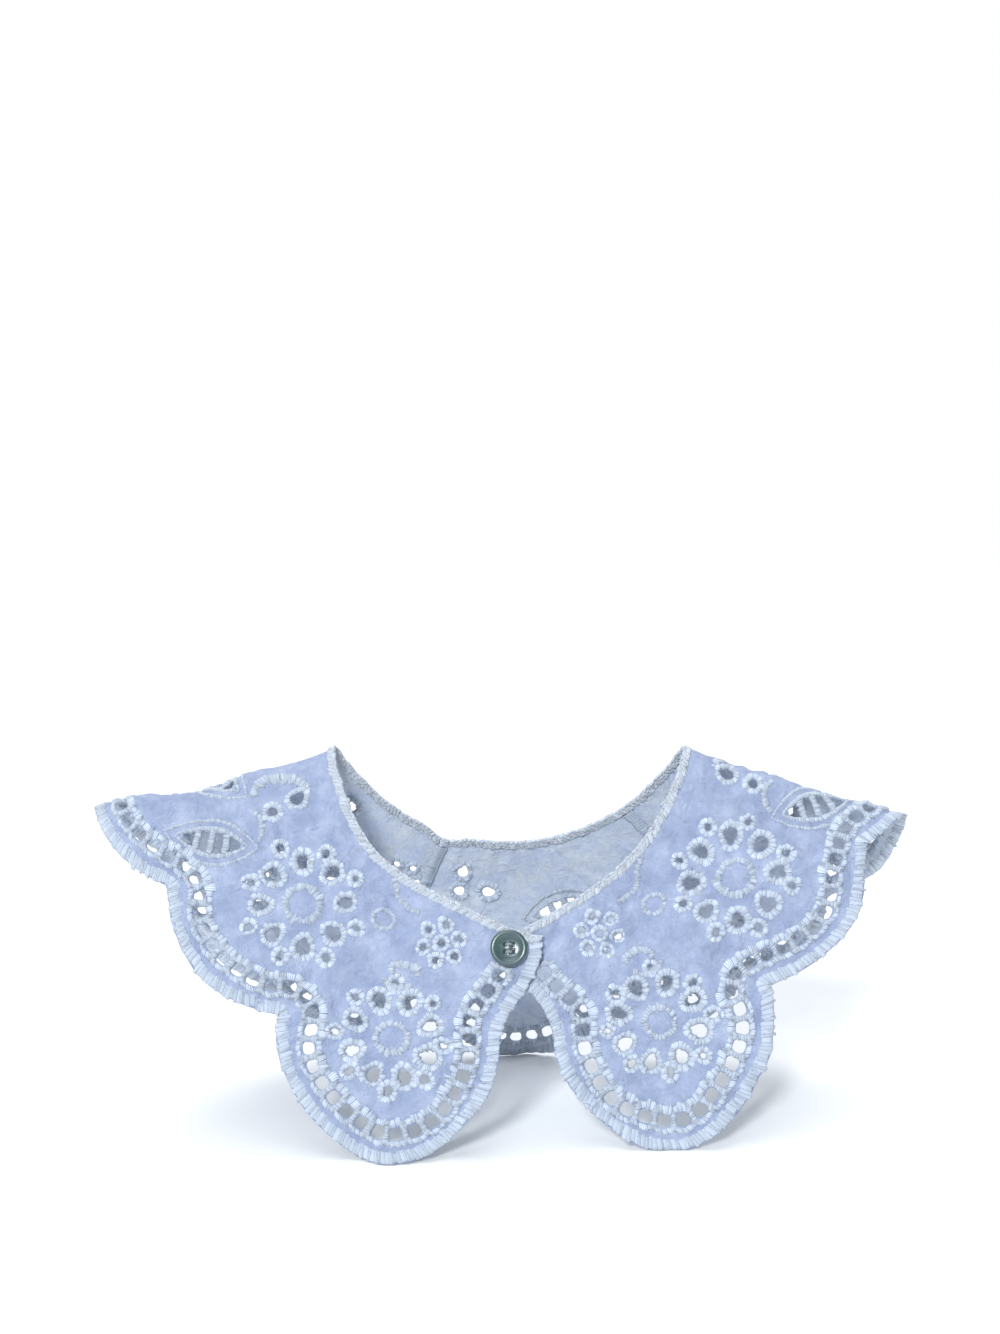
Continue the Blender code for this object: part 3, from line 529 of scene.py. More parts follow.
class Creases:
    """Lift of the cloth off its smooth surface, in mm, kept on a grid over the flat pattern."""

    STEP = 0.8
    REACH = 192.0
    # Folds: side, from (angle, radius), to (angle, radius), width in pattern units, depth in mm.
    FOLDS = [
        (-1, 36.5, 134.0, 31.0, 92.0, 5.5, -1.3), (-1, 41.5, 128.0, 38.5, 96.0, 4.5, 0.9),
        (-1, 11.5, 133.0, 16.0, 100.0, 5.0, -1.0), (-1, 46.0, 146.0, 60.0, 150.0, 4.0, -0.7),
        (-1, 62.0, 96.0, 44.0, 104.0, 4.2, -0.7), (-1, 63.0, 101.0, 40.0, 117.0, 3.6, 0.6),
        (-1, 22.0, 78.0, 16.0, 96.0, 4.5, 0.7), (-1, 2.0, 128.0, 4.0, 88.0, 4.0, -0.8),
        (1, 36.5, 134.0, 33.0, 94.0, 5.5, -1.2), (1, 42.0, 128.0, 40.0, 98.0, 4.5, 0.8),
        (1, 11.0, 134.0, 15.0, 98.0, 5.0, -1.1), (1, 47.0, 148.0, 60.0, 148.0, 4.0, -0.7),
        (1, 66.0, 98.0, 46.0, 101.0, 4.0, -0.6), (1, 58.0, 108.0, 38.0, 118.0, 3.6, 0.6),
        (1, 24.0, 79.0, 17.0, 98.0, 4.5, 0.7), (1, 3.0, 130.0, 2.0, 86.0, 4.0, -0.8),
        (-1, -14.0, 134.0, -20.0, 90.0, 5.0, -1.0), (1, -20.0, 136.0, -22.0, 84.0, 5.0, -1.0),
        (-1, -60.0, 134.0, -52.0, 80.0, 5.0, -0.9), (1, -52.0, 138.0, -62.0, 78.0, 5.0, -1.0),
        (1, -34.0, 138.0, -38.0, 92.0, 4.5, -0.8), (-1, -68.0, 104.0, -40.0, 98.0, 4.5, 0.7),
        (-1, 44.6, 160.5, 41.4, 153.5, 4.5, -1.6), (1, 65.8, 144.0, 61.5, 166.0, 4.5, -1.4),
        (-1, 37.8, 78.9, 41.1, 86.5, 3.2, -1.0), (-1, 41.1, 86.5, 48.1, 96.8, 3.4, -1.2),
        (-1, 34.6, 93.4, 41.1, 86.5, 3.0, -0.7), (-1, 42.0, 118.5, 49.0, 114.5, 2.6, -0.8),
        (-1, 19.5, 96.5, 28.0, 93.0, 3.6, -0.9), (1, 38.0, 80.0, 47.0, 95.0, 3.4, -0.8),
        (-1, 57.0, 168.0, 49.0, 160.0, 4.0, 0.8), (1, 48.0, 166.0, 56.0, 160.0, 4.0, 0.8),
    ]
    FOLD_DEPTH = 1.35      # the folds' common factor

    def __init__(self):
        count = int(2 * self.REACH / self.STEP) + 1
        axis = np.linspace(-self.REACH, self.REACH, count)
        gx, gy = np.meshgrid(axis, axis)
        self.axis = axis
        self.xy = np.stack([gx, gy], axis=-1)
        q, r = polar(self.xy)
        lift = self.crinkle() + self.swell() + self.folds() + self.puckers(q, r) + self.hem_wave()
        self.lift = (lift + self.seams(q, r)) * self.calm(q, r)

    def waves(self, shortest, longest, count, seed):
        """Sum of plane waves with wavelengths between two limits, about one unit in size."""
        rng = np.random.default_rng(seed)
        x, y = self.xy[..., 0], self.xy[..., 1]
        total = np.zeros(x.shape)
        for _ in range(count):
            wave = 2 * np.pi / rng.uniform(shortest, longest)
            angle = rng.uniform(0, np.pi)
            phase = rng.uniform(0, 2 * np.pi)
            total += np.sin(wave * (x * math.cos(angle) + y * math.sin(angle)) + phase)
        return total / math.sqrt(count / 2)

    def crinkle(self):
        """Fine dry wrinkles with sharp tops, stronger in some places than in others."""
        fine = 1 - np.abs(self.waves(5.0, 9.0, 22, 11))
        wide = 1 - np.abs(self.waves(10.0, 19.0, 16, 12))
        where = np.clip(0.75 + 0.45 * self.waves(28.0, 60.0, 10, 13), 0.2, 1.5)
        return where * (0.36 * fine + 0.62 * wide)

    def swell(self):
        return 0.65 * self.waves(34.0, 80.0, 12, 17)

    def folds(self):
        total = np.zeros(self.xy.shape[:2])
        for side, a0, r0, a1, r1, width, depth in self.FOLDS:
            start = flat(np.array(side * (RIDGE + a0)), np.array(r0))
            end = flat(np.array(side * (RIDGE + a1)), np.array(r1))
            along = end - start
            t = np.clip(((self.xy - start) @ along) / (along @ along), 0, 1)
            away = np.linalg.norm(self.xy - start - t[..., None] * along, axis=-1)
            middling = 0.35 + 0.65 * np.sin(np.pi * (0.12 + 0.76 * t))
            total += self.FOLD_DEPTH * depth * np.exp(-(away / width) ** 2) * middling
        return total

    def puckers(self, q, r):
        """Cloth drawn in round each flower, and puffed inside its middle ring."""
        total = np.zeros(self.xy.shape[:2])
        for side, a, radius, turn, petals, small, ring in FLOWERS:
            place = MotifFrame(side, a, radius)
            local = self.xy - place.centre
            u, v = local @ place.forward, local @ place.down
            reach = np.hypot(u, v)
            angle = np.arctan2(v, u) - math.radians(turn)
            total -= 0.75 * np.cos(8 * angle) * np.exp(-((reach - petals) / 4.2) ** 2)
            total += 0.45 * np.cos(16 * angle + 1.0) * np.exp(-((reach - small - 3.6) / 3.0) ** 2)
            total += 0.90 * np.exp(-(reach / (ring * 0.7)) ** 2)
            total -= 0.60 * np.exp(-((reach - ring - 3.0) / 2.2) ** 2)
        for side, a, radius, _ in CLUSTERS:
            reach = np.linalg.norm(self.xy - MotifFrame(side, a, radius).centre, axis=-1)
            total += 0.35 * np.exp(-((reach - 11.0) / 3.0) ** 2) - 0.25 * np.exp(-(reach / 7.0) ** 2)
        neck = r - neck_radius(q)
        ripple = np.sin(np.radians(q) * 70.0 / 1.05) + 0.6 * np.sin(np.radians(q) * 70.0 / 1.71 + 1.0)
        return total + 0.24 * ripple * np.exp(-((neck - 4.5) / 4.0) ** 2)

    def hem_wave(self):
        """Hem standing in and out of line, and a channel in the plain strip between its stitches."""
        edge = hem(1.0)
        tree = tree_of(edge)
        run = lengths(edge)
        total = np.zeros(self.xy.shape[:2])
        r = np.hypot(self.xy[..., 0], self.xy[..., 1])
        for i, j in np.argwhere((r > 84) & (r < 178)):
            _, k, away = tree.find((self.xy[i, j, 0], self.xy[i, j, 1], 0))
            if away < 26:
                s = run[k]
                wave = 1.15 * math.sin(s / 5.1 + 0.8) + 0.9 * math.sin(s / 8.3 + 2.1)
                wave += 0.4 * math.sin(s / 2.7)
                total[i, j] += wave * math.exp(-(away / 8.0) ** 2)
                total[i, j] -= 0.60 * math.exp(-((away - 5.6) / 1.1) ** 2)
                total[i, j] += 0.45 * math.exp(-((away - 17.5) / 2.0) ** 2)
        return total

    def seams(self, q, r):
        total = np.zeros(self.xy.shape[:2])
        for seam in (LEFT_SEAM, RIGHT_SEAM):
            away = np.radians(q - seam) * r
            total -= 0.55 * np.exp(-(away / 0.9) ** 2)
            total += 0.30 * np.exp(-((away - 2.8) / 1.6) ** 2)
        return total

    def calm(self, q, r):
        """Less lift where the button holds the fronts and along the neck's edge."""
        away = np.minimum(
            np.linalg.norm(self.xy - MotifFrame(-1, *BUTTON_AT).centre, axis=-1),
            np.linalg.norm(self.xy - MotifFrame(1, BUTTON_AT[0] + 4.0, BUTTON_AT[1]).centre, axis=-1))
        hold = 1 - 0.92 * np.exp(-(away / 11.0) ** 4)
        return hold * (1 - 0.6 * np.exp(-((r - neck_radius(q)) / 3.0) ** 2))

    def at(self, xy):
        place = (xy + self.REACH) / self.STEP
        low = np.clip(np.floor(place).astype(int), 0, len(self.axis) - 2)
        part = place - low
        x, y = low[..., 0], low[..., 1]
        u, v = part[..., 0], part[..., 1]
        near = self.lift[y, x] * (1 - u) + self.lift[y, x + 1] * u
        far = self.lift[y + 1, x] * (1 - u) + self.lift[y + 1, x + 1] * u
        return near * (1 - v) + far * v


CREASES = Creases()


def mesh_piece(name, points, faces, material, uv=None):
    """Mesh object from points and a list of face arrays, shaded smooth."""
    mesh = bpy.data.meshes.new(name)
    corners = np.concatenate([f.ravel() for f in faces]).astype(np.int32)
    sizes = np.concatenate([np.full(len(f), f.shape[1]) for f in faces])
    starts = np.concatenate([[0], np.cumsum(sizes)[:-1]]).astype(np.int32)
    mesh.vertices.add(len(points))
    mesh.vertices.foreach_set("co", np.asarray(points, np.float32).ravel())
    mesh.loops.add(len(corners))
    mesh.loops.foreach_set("vertex_index", corners)
    mesh.polygons.add(len(starts))
    mesh.polygons.foreach_set("loop_start", starts)
    mesh.update(calc_edges=True)
    mesh.polygons.foreach_set("use_smooth", np.ones(len(starts), bool))
    if uv is not None:
        layer = mesh.uv_layers.new(name="pattern")
        layer.data.foreach_set("uv", np.asarray(uv[corners], np.float32).ravel())
    mesh.materials.append(material)
    item = bpy.data.objects.new(name, mesh)
    bpy.context.scene.collection.objects.link(item)
    return item


class Thread:
    """Stitches, kept as flat points and lifts until one mesh is made of them."""

    def __init__(self):
        self.flat, self.lift, self.uv, self.quads, self.ends = [], [], [], [], []
        self.count = 0

    def bar(self, xy, lift, uv, closed):
        """Closed tube from (stations, corners) arrays; a closed one joins its ends."""
        stations, corners = lift.shape
        index = self.count + np.arange(stations * corners).reshape(stations, corners)
        here = index if closed else index[:-1]
        ahead = np.roll(index, -1, axis=0) if closed else index[1:]
        beside, beside_ahead = np.roll(here, -1, axis=1), np.roll(ahead, -1, axis=1)
        self.quads.append(np.stack([here, ahead, beside_ahead, beside], axis=-1).reshape(-1, 4))
        if not closed:
            self.ends += [index[0], index[-1][::-1]]
        self.flat.append(xy.reshape(-1, 2))
        self.lift.append(lift.ravel())
        self.uv.append(uv.reshape(-1, 2))
        self.count += stations * corners

    def satin(self, line, rng, pitch, low, high, height, closed=False, ragged=0.0, lean=0.0, base=0.0,
              corners=6):
        """Side by side stitches across a flat line, from low to high on its left, as one closed bar.

        low and high may be numbers or functions of the place from 0 to 1 along the line.  The map runs
        from one groove to the next and back, so that each stitch is one turn of its first number."""
        if closed:
            line = np.vstack([line, line[:1]])
        full = lengths(line)[-1]
        count = max(4, int(round(full / pitch)))
        count += count % 2 if closed else 0
        shift = np.clip(0.20 * rng.standard_normal(count), -0.34, 0.34)
        first = shift[0] if closed else 0.0
        bounds = np.append(np.arange(count) + shift, count + first)
        bounds[0] = first
        at = bounds[:-1, None] + STITCH_STEPS * np.diff(bounds)[:, None]
        odd = (np.arange(count) % 2)[:, None]
        turn = np.where(odd == 1, 1 - STITCH_STEPS, STITCH_STEPS).ravel()
        rise = np.tile(STITCH_RISE, count)
        at = (at * full / count).ravel()
        if closed:
            at = at % full
        else:
            at = np.append(at, full)
            turn = np.append(turn, count % 2)
            rise = np.append(rise, 0.0)
        centre, tangent = walk(line, at)
        part = at / full
        stitch = np.minimum(np.arange(len(at)) // len(STITCH_STEPS), count - 1)
        low, high = [f(part) if callable(f) else f for f in (low, high)]
        ends = rng.standard_normal((count, 2))[stitch]
        thick = 1 + 0.12 * np.clip(rng.standard_normal(count), -2, 2)[stitch]
        slant = (lean + 0.07 * rng.standard_normal(count))[stitch]
        pinch = GROOVE_PINCH * (1 - rise)
        start = low - ragged * ends[:, 0] + pinch
        stop = high + ragged * ends[:, 1] - pinch
        groove = max(GROOVE_FLOOR, GROOVE_SHARE * height)
        swell = groove + (height * thick - groove) * rise
        s, h = np.array(STITCH_SECTIONS[corners])
        across = start[:, None] + s[None] * (stop - start)[:, None]
        shear = slant[:, None] * (across - (start + stop)[:, None] / 2)
        xy = centre[:, None] + left_of(tangent)[:, None] * across[..., None]
        xy = xy + tangent[:, None] * shear[..., None]
        uv = np.stack([np.broadcast_to(turn[:, None], across.shape), across * SIZE + 0.4 * h], axis=-1)
        self.bar(xy, base + swell[:, None] * h[None], uv, closed)

    def build(self, name, material):
        points = on_cloth(np.vstack(self.flat), np.concatenate(self.lift))
        faces = [np.vstack(self.quads)]
        for size in sorted({len(e) for e in self.ends}):
            faces.append(np.array([e for e in self.ends if len(e) == size]))
        if TUBES_INSIDE_OUT:
            faces = [f[:, ::-1] for f in faces]
        piece = mesh_piece(name, points, faces, material, np.vstack(self.uv))
        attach(piece, "root")
        return piece


def tubes_inside_out():
    """Whether a bar drawn in the flat comes out with its faces inwards once it is laid on the cloth."""
    q, r = np.array([10.0]), np.array([100.0])
    base = flat(q, r)
    moves = [middle(*polar(base + np.array([step]))) - middle(q, r) for step in ((0.2, 0.0), (0.0, 0.2))]
    normal = np.cross(moves[0], moves[1])[0]
    return float(np.dot(normal, slopes(q, r)[2][0])) < 0


TUBES_INSIDE_OUT = tubes_inside_out()


# Materials.

def new_material(name):
    material = bpy.data.materials.new(name)
    material.use_nodes = True
    tree = material.node_tree
    return material, tree, tree.nodes["Principled BSDF"]


def sockets(item, **values):
    """Sets a node's inputs by their names, with _ for a space."""
    for key, value in values.items():
        item.inputs[key.replace("_", " ")].default_value = value


def node(tree, kind, settings=None, links=None, **values):
    """New node with its settings, the outputs that feed its inputs, and the values of other inputs."""
    item = tree.nodes.new(kind)
    for key, value in (settings or {}).items():
        setattr(item, key, value)
    sockets(item, **values)
    for key, output in (links or {}).items():
        tree.links.new(output, item.inputs[key])
    return item


def product(tree, first, second):
    return node(tree, "ShaderNodeMath", {"operation": "MULTIPLY"}, {0: first, 1: second}).outputs["Value"]


def off_half(tree, source):
    """How far a value lies from one half."""
    centred = node(tree, "ShaderNodeMath", {"operation": "SUBTRACT"}, {0: source})
    centred.inputs[1].default_value = 0.5
    size = node(tree, "ShaderNodeMath", {"operation": "ABSOLUTE"}, {0: centred.outputs["Value"]})
    return size.outputs["Value"]


def multiplied(tree, first, second, share=1.0):
    """Colour of one output darkened by another."""
    mix = node(tree, "ShaderNodeMix", {"data_type": "RGBA", "blend_type": "MULTIPLY"}, {6: first, 7: second},
               Factor=share)
    return mix.outputs[2]


def colour_ramp(tree, source, stops):
    ramp = tree.nodes.new("ShaderNodeValToRGB")
    while len(ramp.color_ramp.elements) < len(stops):
        ramp.color_ramp.elements.new(0.5)
    for element, (place, colour) in zip(ramp.color_ramp.elements, stops):
        element.position = place
        element.color = (*colour, 1.0)
    tree.links.new(source, ramp.inputs["Fac"])
    return ramp.outputs["Color"]


def bump(tree, height, distance, strength, normal=None):
    links = {"Height": height} if normal is None else {"Height": height, "Normal": normal}
    return node(tree, "ShaderNodeBump", None, links, Distance=distance, Strength=strength).outputs["Normal"]


def finish_shader(tree, shader, colour, normal, **values):
    tree.links.new(colour, shader.inputs["Base Color"])
    tree.links.new(normal, shader.inputs["Normal"])
    sockets(shader, **values)


def see_through(tree, shader, colour, share):
    """Lets some light pass through thin cloth."""
    glow = node(tree, "ShaderNodeBsdfTranslucent", None, {"Color": colour})
    both = {1: shader.outputs["BSDF"], 2: glow.outputs["BSDF"]}
    mix = node(tree, "ShaderNodeMixShader", None, both, Fac=share)
    tree.links.new(mix.outputs["Shader"], tree.nodes["Material Output"].inputs["Surface"])


def voile(name, stops, glow):
    """Cotton voile: plain weave with thick and thin yarns, faintly blue, slightly see-through, with painted
    shade along its creases.
    """
    material, tree, shader = new_material(name)
    place = {"Vector": node(tree, "ShaderNodeUVMap", {"uv_map": "pattern"}).outputs["UV"]}
    patches = node(tree, "ShaderNodeTexNoise", None, place, Scale=0.085, Detail=7.0, Roughness=0.68)
    grain = node(tree, "ShaderNodeTexNoise", None, place, Scale=0.75, Detail=5.0, Roughness=0.7)
    yarns = [node(tree, "ShaderNodeTexWave", {"bands_direction": axis}, place,
                  Scale=0.74, Distortion=1.1, Detail=2.0, Detail_Scale=0.5) for axis in ("X", "Y")]
    weave = product(tree, *[yarn.outputs["Fac"] for yarn in yarns])
    gaps = colour_ramp(tree, weave, [(0.0, (0.72, 0.75, 0.80)), (0.5, (1, 1, 1))])
    woven = multiplied(tree, colour_ramp(tree, patches.outputs["Fac"], stops), gaps, 0.28)
    creases = node(tree, "ShaderNodeTexNoise", None, place, Scale=0.15, Detail=3.0, Roughness=0.55,
                   Distortion=1.1)
    ridge = off_half(tree, creases.outputs["Fac"])
    # Painted shade: the colour darkens along the crease lines of this noise, where shade falls in folds; the
    # same noise also bumps the surface
    crease_shade = colour_ramp(tree, ridge, [(0.0, (0.88, 0.90, 0.94)), (0.03, (0.96, 0.97, 0.99)),
                                      (0.10, (1, 1, 1))])
    colour = multiplied(tree, woven, crease_shade)
    rough = bump(tree, grain.outputs["Fac"], 0.0011, 0.9, bump(tree, ridge, 0.0022, 0.7))
    finish_shader(tree, shader, colour, bump(tree, weave, 0.00008, 0.5, rough), Roughness=0.82,
                  Sheen_Weight=0.25, Sheen_Roughness=0.5, Specular_IOR_Level=0.25)
    see_through(tree, shader, colour, glow)
    return material


def thread_material(name, groove, dark, light):
    """Mercerised cotton thread: each stitch is a few fine strands, with painted shade darkening the groove
    beside it.
    """
    material, tree, shader = new_material(name)
    place = node(tree, "ShaderNodeUVMap", {"uv_map": "pattern"}).outputs["UV"]
    solid = node(tree, "ShaderNodeTexCoord").outputs["Object"]
    squeeze = node(tree, "ShaderNodeMapping", None, {"Vector": place}, Scale=(1.0, 0.12, 1.0))
    squeezed = {"Vector": squeeze.outputs["Vector"]}
    strands = node(tree, "ShaderNodeTexWave", {"bands_direction": "X"}, squeezed,
                   Scale=1.25, Distortion=1.6, Detail=2.0, Detail_Scale=2.0)
    fuzz = node(tree, "ShaderNodeTexNoise", None, {"Vector": solid}, Scale=1100.0, Detail=4.0, Roughness=0.7)
    across = node(tree, "ShaderNodeSeparateXYZ", None, {"Vector": place})
    # Painted shade: the colour darkens towards the groove between two stitches, down to the groove colour
    depth = colour_ramp(tree, off_half(tree, across.outputs["X"]),
                        [(0.32, (1, 1, 1)), (0.43, GROOVE_SHADE_TINT), (0.5, groove)])
    mixed = product(tree, strands.outputs["Fac"], fuzz.outputs["Fac"])
    colour = multiplied(tree, colour_ramp(tree, mixed, [(0.05, dark), (0.42, light)]), depth)
    finish_shader(tree, shader, colour, bump(tree, mixed, 0.00045, 0.9), Roughness=0.50,
                  Sheen_Weight=0.3, Sheen_Roughness=0.4, Specular_IOR_Level=0.45)
    see_through(tree, shader, colour, 0.10)
    return material


def shell_material():
    """Grey-green mother of pearl, polished, in soft layers."""
    material, tree, shader = new_material("shell")
    place = node(tree, "ShaderNodeTexCoord").outputs["Object"]
    stretch = node(tree, "ShaderNodeMapping", None, {"Vector": place}, Scale=(60.0, 60.0, 150.0),
                   Rotation=(0.3, 0.2, 0.7))
    layers = node(tree, "ShaderNodeTexNoise", None, {"Vector": stretch.outputs["Vector"]},
                  Scale=1.0, Detail=5.0, Roughness=0.55, Distortion=0.6).outputs["Fac"]
    colour = colour_ramp(tree, layers, [(0.30, (0.036, 0.066, 0.098)), (0.46, (0.042, 0.080, 0.092)),
                                        (0.62, (0.048, 0.098, 0.092)), (0.80, (0.085, 0.140, 0.150))])
    finish_shader(tree, shader, colour, bump(tree, layers, 0.00008, 0.3), Roughness=0.36,
                  Specular_IOR_Level=0.6, Coat_Weight=0.5, Coat_Roughness=0.16)
    return material


def floor_material():
    material, _, shader = new_material("pale_floor")
    sockets(shader, Base_Color=(0.93, 0.93, 0.93, 1), Roughness=0.85, Specular_IOR_Level=0.1)
    return material


# Cloth.

def seam_edge(bound, sign):
    """Edge of a cloth piece along a seam, from the hem to the neck, on the side that sign gives."""
    q, r = polar(hem(HEM_STEP))
    reach = r[int(np.argmin(np.abs(q - bound)))]
    radius = np.linspace(reach, float(neck_radius(np.array(bound))) + NECK_TURN, 52)
    return flat(bound + sign * np.degrees(SEAM_GAP / radius), radius)


def cloth_outline(low, high):
    """Closed outline in the flat of the cloth between two pattern angles; None means a front edge."""
    edge = hem(1.1)
    q, r = polar(edge)
    first = LEFT_CORNER if low is None else low
    last = RIGHT_CORNER - 0.2 if high is None else high
    rim = [edge[(q > first + 0.4) & (q < last - 0.4) & (r > neck_radius(q) + 1.0)]]
    start = first + (0.35 if low is None else 0.5)
    stop = last - (0.35 if high is None else 0.5)
    neck_q = np.linspace(stop, start, int((stop - start) * 1.25 / CLOTH_STEP))
    if high is not None:
        rim.append(seam_edge(high, -1))
    rim.append(flat(neck_q, neck_radius(neck_q) + NECK_TURN))
    if low is not None:
        rim.append(seam_edge(low, 1)[::-1])
    return np.vstack(rim)


def grid_points(outline, holes):
    """Loose points inside the cloth, clear of its edges and holes."""
    step = CLOTH_STEP
    rows = np.arange(-176, 177, step * 0.866)
    x, y = np.meshgrid(np.arange(-176, 177, step), rows)
    x = x + np.where(np.arange(len(rows)) % 2 == 1, step / 2, 0)[:, None]
    points = np.stack([x.ravel(), y.ravel()], axis=1)
    low, high = outline.min(axis=0), outline.max(axis=0)
    points = points[((points > low) & (points < high)).all(axis=1)]
    points = points[np.concatenate([inside(part, outline) for part in np.array_split(points, 60)])]
    tree = tree_of(np.vstack([outline] + holes))
    away = np.array([tree.find((p[0], p[1], 0))[2] for p in points])
    points = points[away > 0.62 * step]
    for hole in holes:
        centre = hole.mean(axis=0)
        near = np.linalg.norm(points - centre, axis=1) < np.linalg.norm(hole - centre, axis=1).max()
        at = np.flatnonzero(near)
        points = np.delete(points, at[inside(points[at], hole)], axis=0)
    return points


def triangles(points, loops, tolerance, least_area):
    """Triangles between flat points, which begin with those of the loops, whose sides become edges.

    Gives the points, the triangles, their middles, and which given point each point was, or -1."""
    edges, start = [], 0
    for loop in loops:
        edges += [(start + k, start + (k + 1) % len(loop)) for k in range(len(loop))]
        start += len(loop)
    result = delaunay_2d_cdt([tuple(p) for p in points], edges, [], 0, tolerance)
    xy = np.array([tuple(v) for v in result[0]])
    origin = np.array([ids[0] if ids else -1 for ids in result[3]])
    tris = np.array([tuple(f) for f in result[2]])
    corner = xy[tris]
    area = np.cross(corner[:, 1] - corner[:, 0], corner[:, 2] - corner[:, 0]) / 2
    tris = np.where((area < 0)[:, None], tris[:, ::-1], tris)
    keep = np.abs(area) > least_area
    return xy, tris[keep], corner.mean(axis=1)[keep], origin


def cloth_piece(name, low, high, all_holes, material):
    """Thin closed shell of creased cloth with its eyelets cut through."""
    outline = cloth_outline(low, high)
    holes = [hole for hole in all_holes if inside(hole, outline).all()]
    loops = [outline] + holes
    points = np.vstack(loops + [grid_points(outline, holes)])
    xy, tris, centre, origin = triangles(points, loops, 1e-6, 1e-5)
    owner = np.full(len(points), -1)
    owner[:sum(map(len, loops))] = np.repeat(np.arange(len(loops)), [len(loop) for loop in loops])
    rim = np.where(origin >= 0, owner[origin], 0)[tris]
    one_loop = (rim[:, 0] >= 0) & (rim[:, 0] == rim[:, 1]) & (rim[:, 1] == rim[:, 2])
    keep = np.ones(len(tris), bool)
    for number, loop in enumerate(loops):
        at = np.flatnonzero(one_loop & (rim[:, 0] == number))
        within = inside(centre[at], loop)
        keep[at[~within] if number == 0 else at[within]] = False
    tris = tris[keep]
    used = np.unique(tris)
    renumber = np.full(len(xy), -1)
    renumber[used] = np.arange(len(used))
    xy, tris = xy[used], renumber[tris]
    count = len(xy)
    verts = np.vstack([on_cloth(xy, np.full(count, CLOTH)), on_cloth(xy, np.full(count, -CLOTH))])
    sides = np.vstack([tris[:, [0, 1]], tris[:, [1, 2]], tris[:, [2, 0]]])
    code = sides[:, 0].astype(np.int64) * count + sides[:, 1]
    back = sides[:, 1].astype(np.int64) * count + sides[:, 0]
    rim = sides[~np.isin(code, back)]
    walls = np.stack([rim[:, 1], rim[:, 0], rim[:, 0] + count, rim[:, 1] + count], axis=1)
    faces = [np.vstack([tris, tris[:, ::-1] + count]), walls]
    if TUBES_INSIDE_OUT:
        faces = [f[:, ::-1] for f in faces]
    piece = mesh_piece(name, verts, faces, material, np.vstack([xy, xy]) * SIZE)
    # Inner faces get the lighter copy of the voile, which is painted light
    piece.data.materials.append(COTTON_INSIDE_PAINTED_LIGHT)
    side = np.zeros(len(piece.data.polygons), np.int32)
    side[len(tris):2 * len(tris)] = 1
    piece.data.polygons.foreach_set("material_index", side)
    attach(piece, "root")
    return piece


# Stitching.

def split_at_seams(line):
    """Pieces of a line from front corner to front corner, one for each cloth piece."""
    q, _ = polar(line)
    names = np.array([part_of(x) for x in q])
    for name in ("front_left", "back", "front_right"):
        yield name, line[names == name]


def edging(threads):
    """Overcast stitches round the whole hem."""
    rng = np.random.default_rng(21)
    for name, part in split_at_seams(inset_line(EDGING / 2, 5)):
        threads[name].satin(part, rng, **STITCHES["edging"])


def wavy(line, places, depth):
    """Line that swings outwards at each ladder hole."""
    length = lengths(line)
    _, tangent = walk(line, length)
    phase = np.interp(length, places, np.arange(len(places)))
    return line - left_of(tangent) * (depth * np.cos(2 * np.pi * phase))[:, None]


def both_sides(half):
    """Reach of stitches to either side of their line, from a function for half their width."""
    return dict(low=lambda t: -half(t), high=half)


def ladder(threads, line):
    """Cord outside the holes, wide satin band inside them, and a wrapped bar between each two."""
    rng = np.random.default_rng(22)
    places, _, _, _ = ladder_places(line)
    full = lengths(line)[-1]
    dense, _ = walk(line, np.arange(0, full, 0.5))
    for kind, swing in (("cord", 0.24), ("band", -0.22)):
        for name, part in split_at_seams(wavy(dense, places, swing)):
            threads[name].satin(part, rng, **STITCHES[kind])
    half_pitch = LADDER_PITCH / 2
    starts = np.append(places - half_pitch, places[-1] + half_pitch)
    for spot, along in zip(*walk(line, np.clip(starts, 0.0, full))):
        reach = np.linspace(-CORD_AT + 0.3, BAND[0] + 0.9, 12)[:, None]
        wide = 1.12 + 0.12 * rng.standard_normal()

        def half(t):
            return wide + 0.75 * (2 * t - 1) ** 2

        bar = spot + left_of(along) * reach
        threads[part_of(polar(spot)[0])].satin(bar, rng, **both_sides(half), **STITCHES["ladder bar"])


def ring_stitches(thread, place, ring, width, height, rng):
    """Satin laid outwards from the edge of a hole."""
    outline = place.points(ring)
    closed = anticlockwise(curve_through(np.vstack([outline, outline[:1]]), 0.35)[:-1])
    thread.satin(closed, rng, low=-width / SIZE, height=height, **STITCHES["eyelet"])


def eyelets(threads, shapes):
    rng = np.random.default_rng(23)
    for place, ring, width in shapes:
        wide = width * (1.26 + 0.10 * rng.standard_normal())
        ring_stitches(threads[place.part], place, ring, wide, 0.94 if width > 1.9 else 0.84, rng)


def flower_rings(threads):
    rng = np.random.default_rng(24)
    for side, a, r, _, _, _, ring in FLOWERS:
        place = MotifFrame(side, a, r)
        loop = anticlockwise(place.points(oval(2 * ring, 2 * ring * 0.97, 48)))
        threads[place.part].satin(loop, rng, **STITCHES["flower ring"])


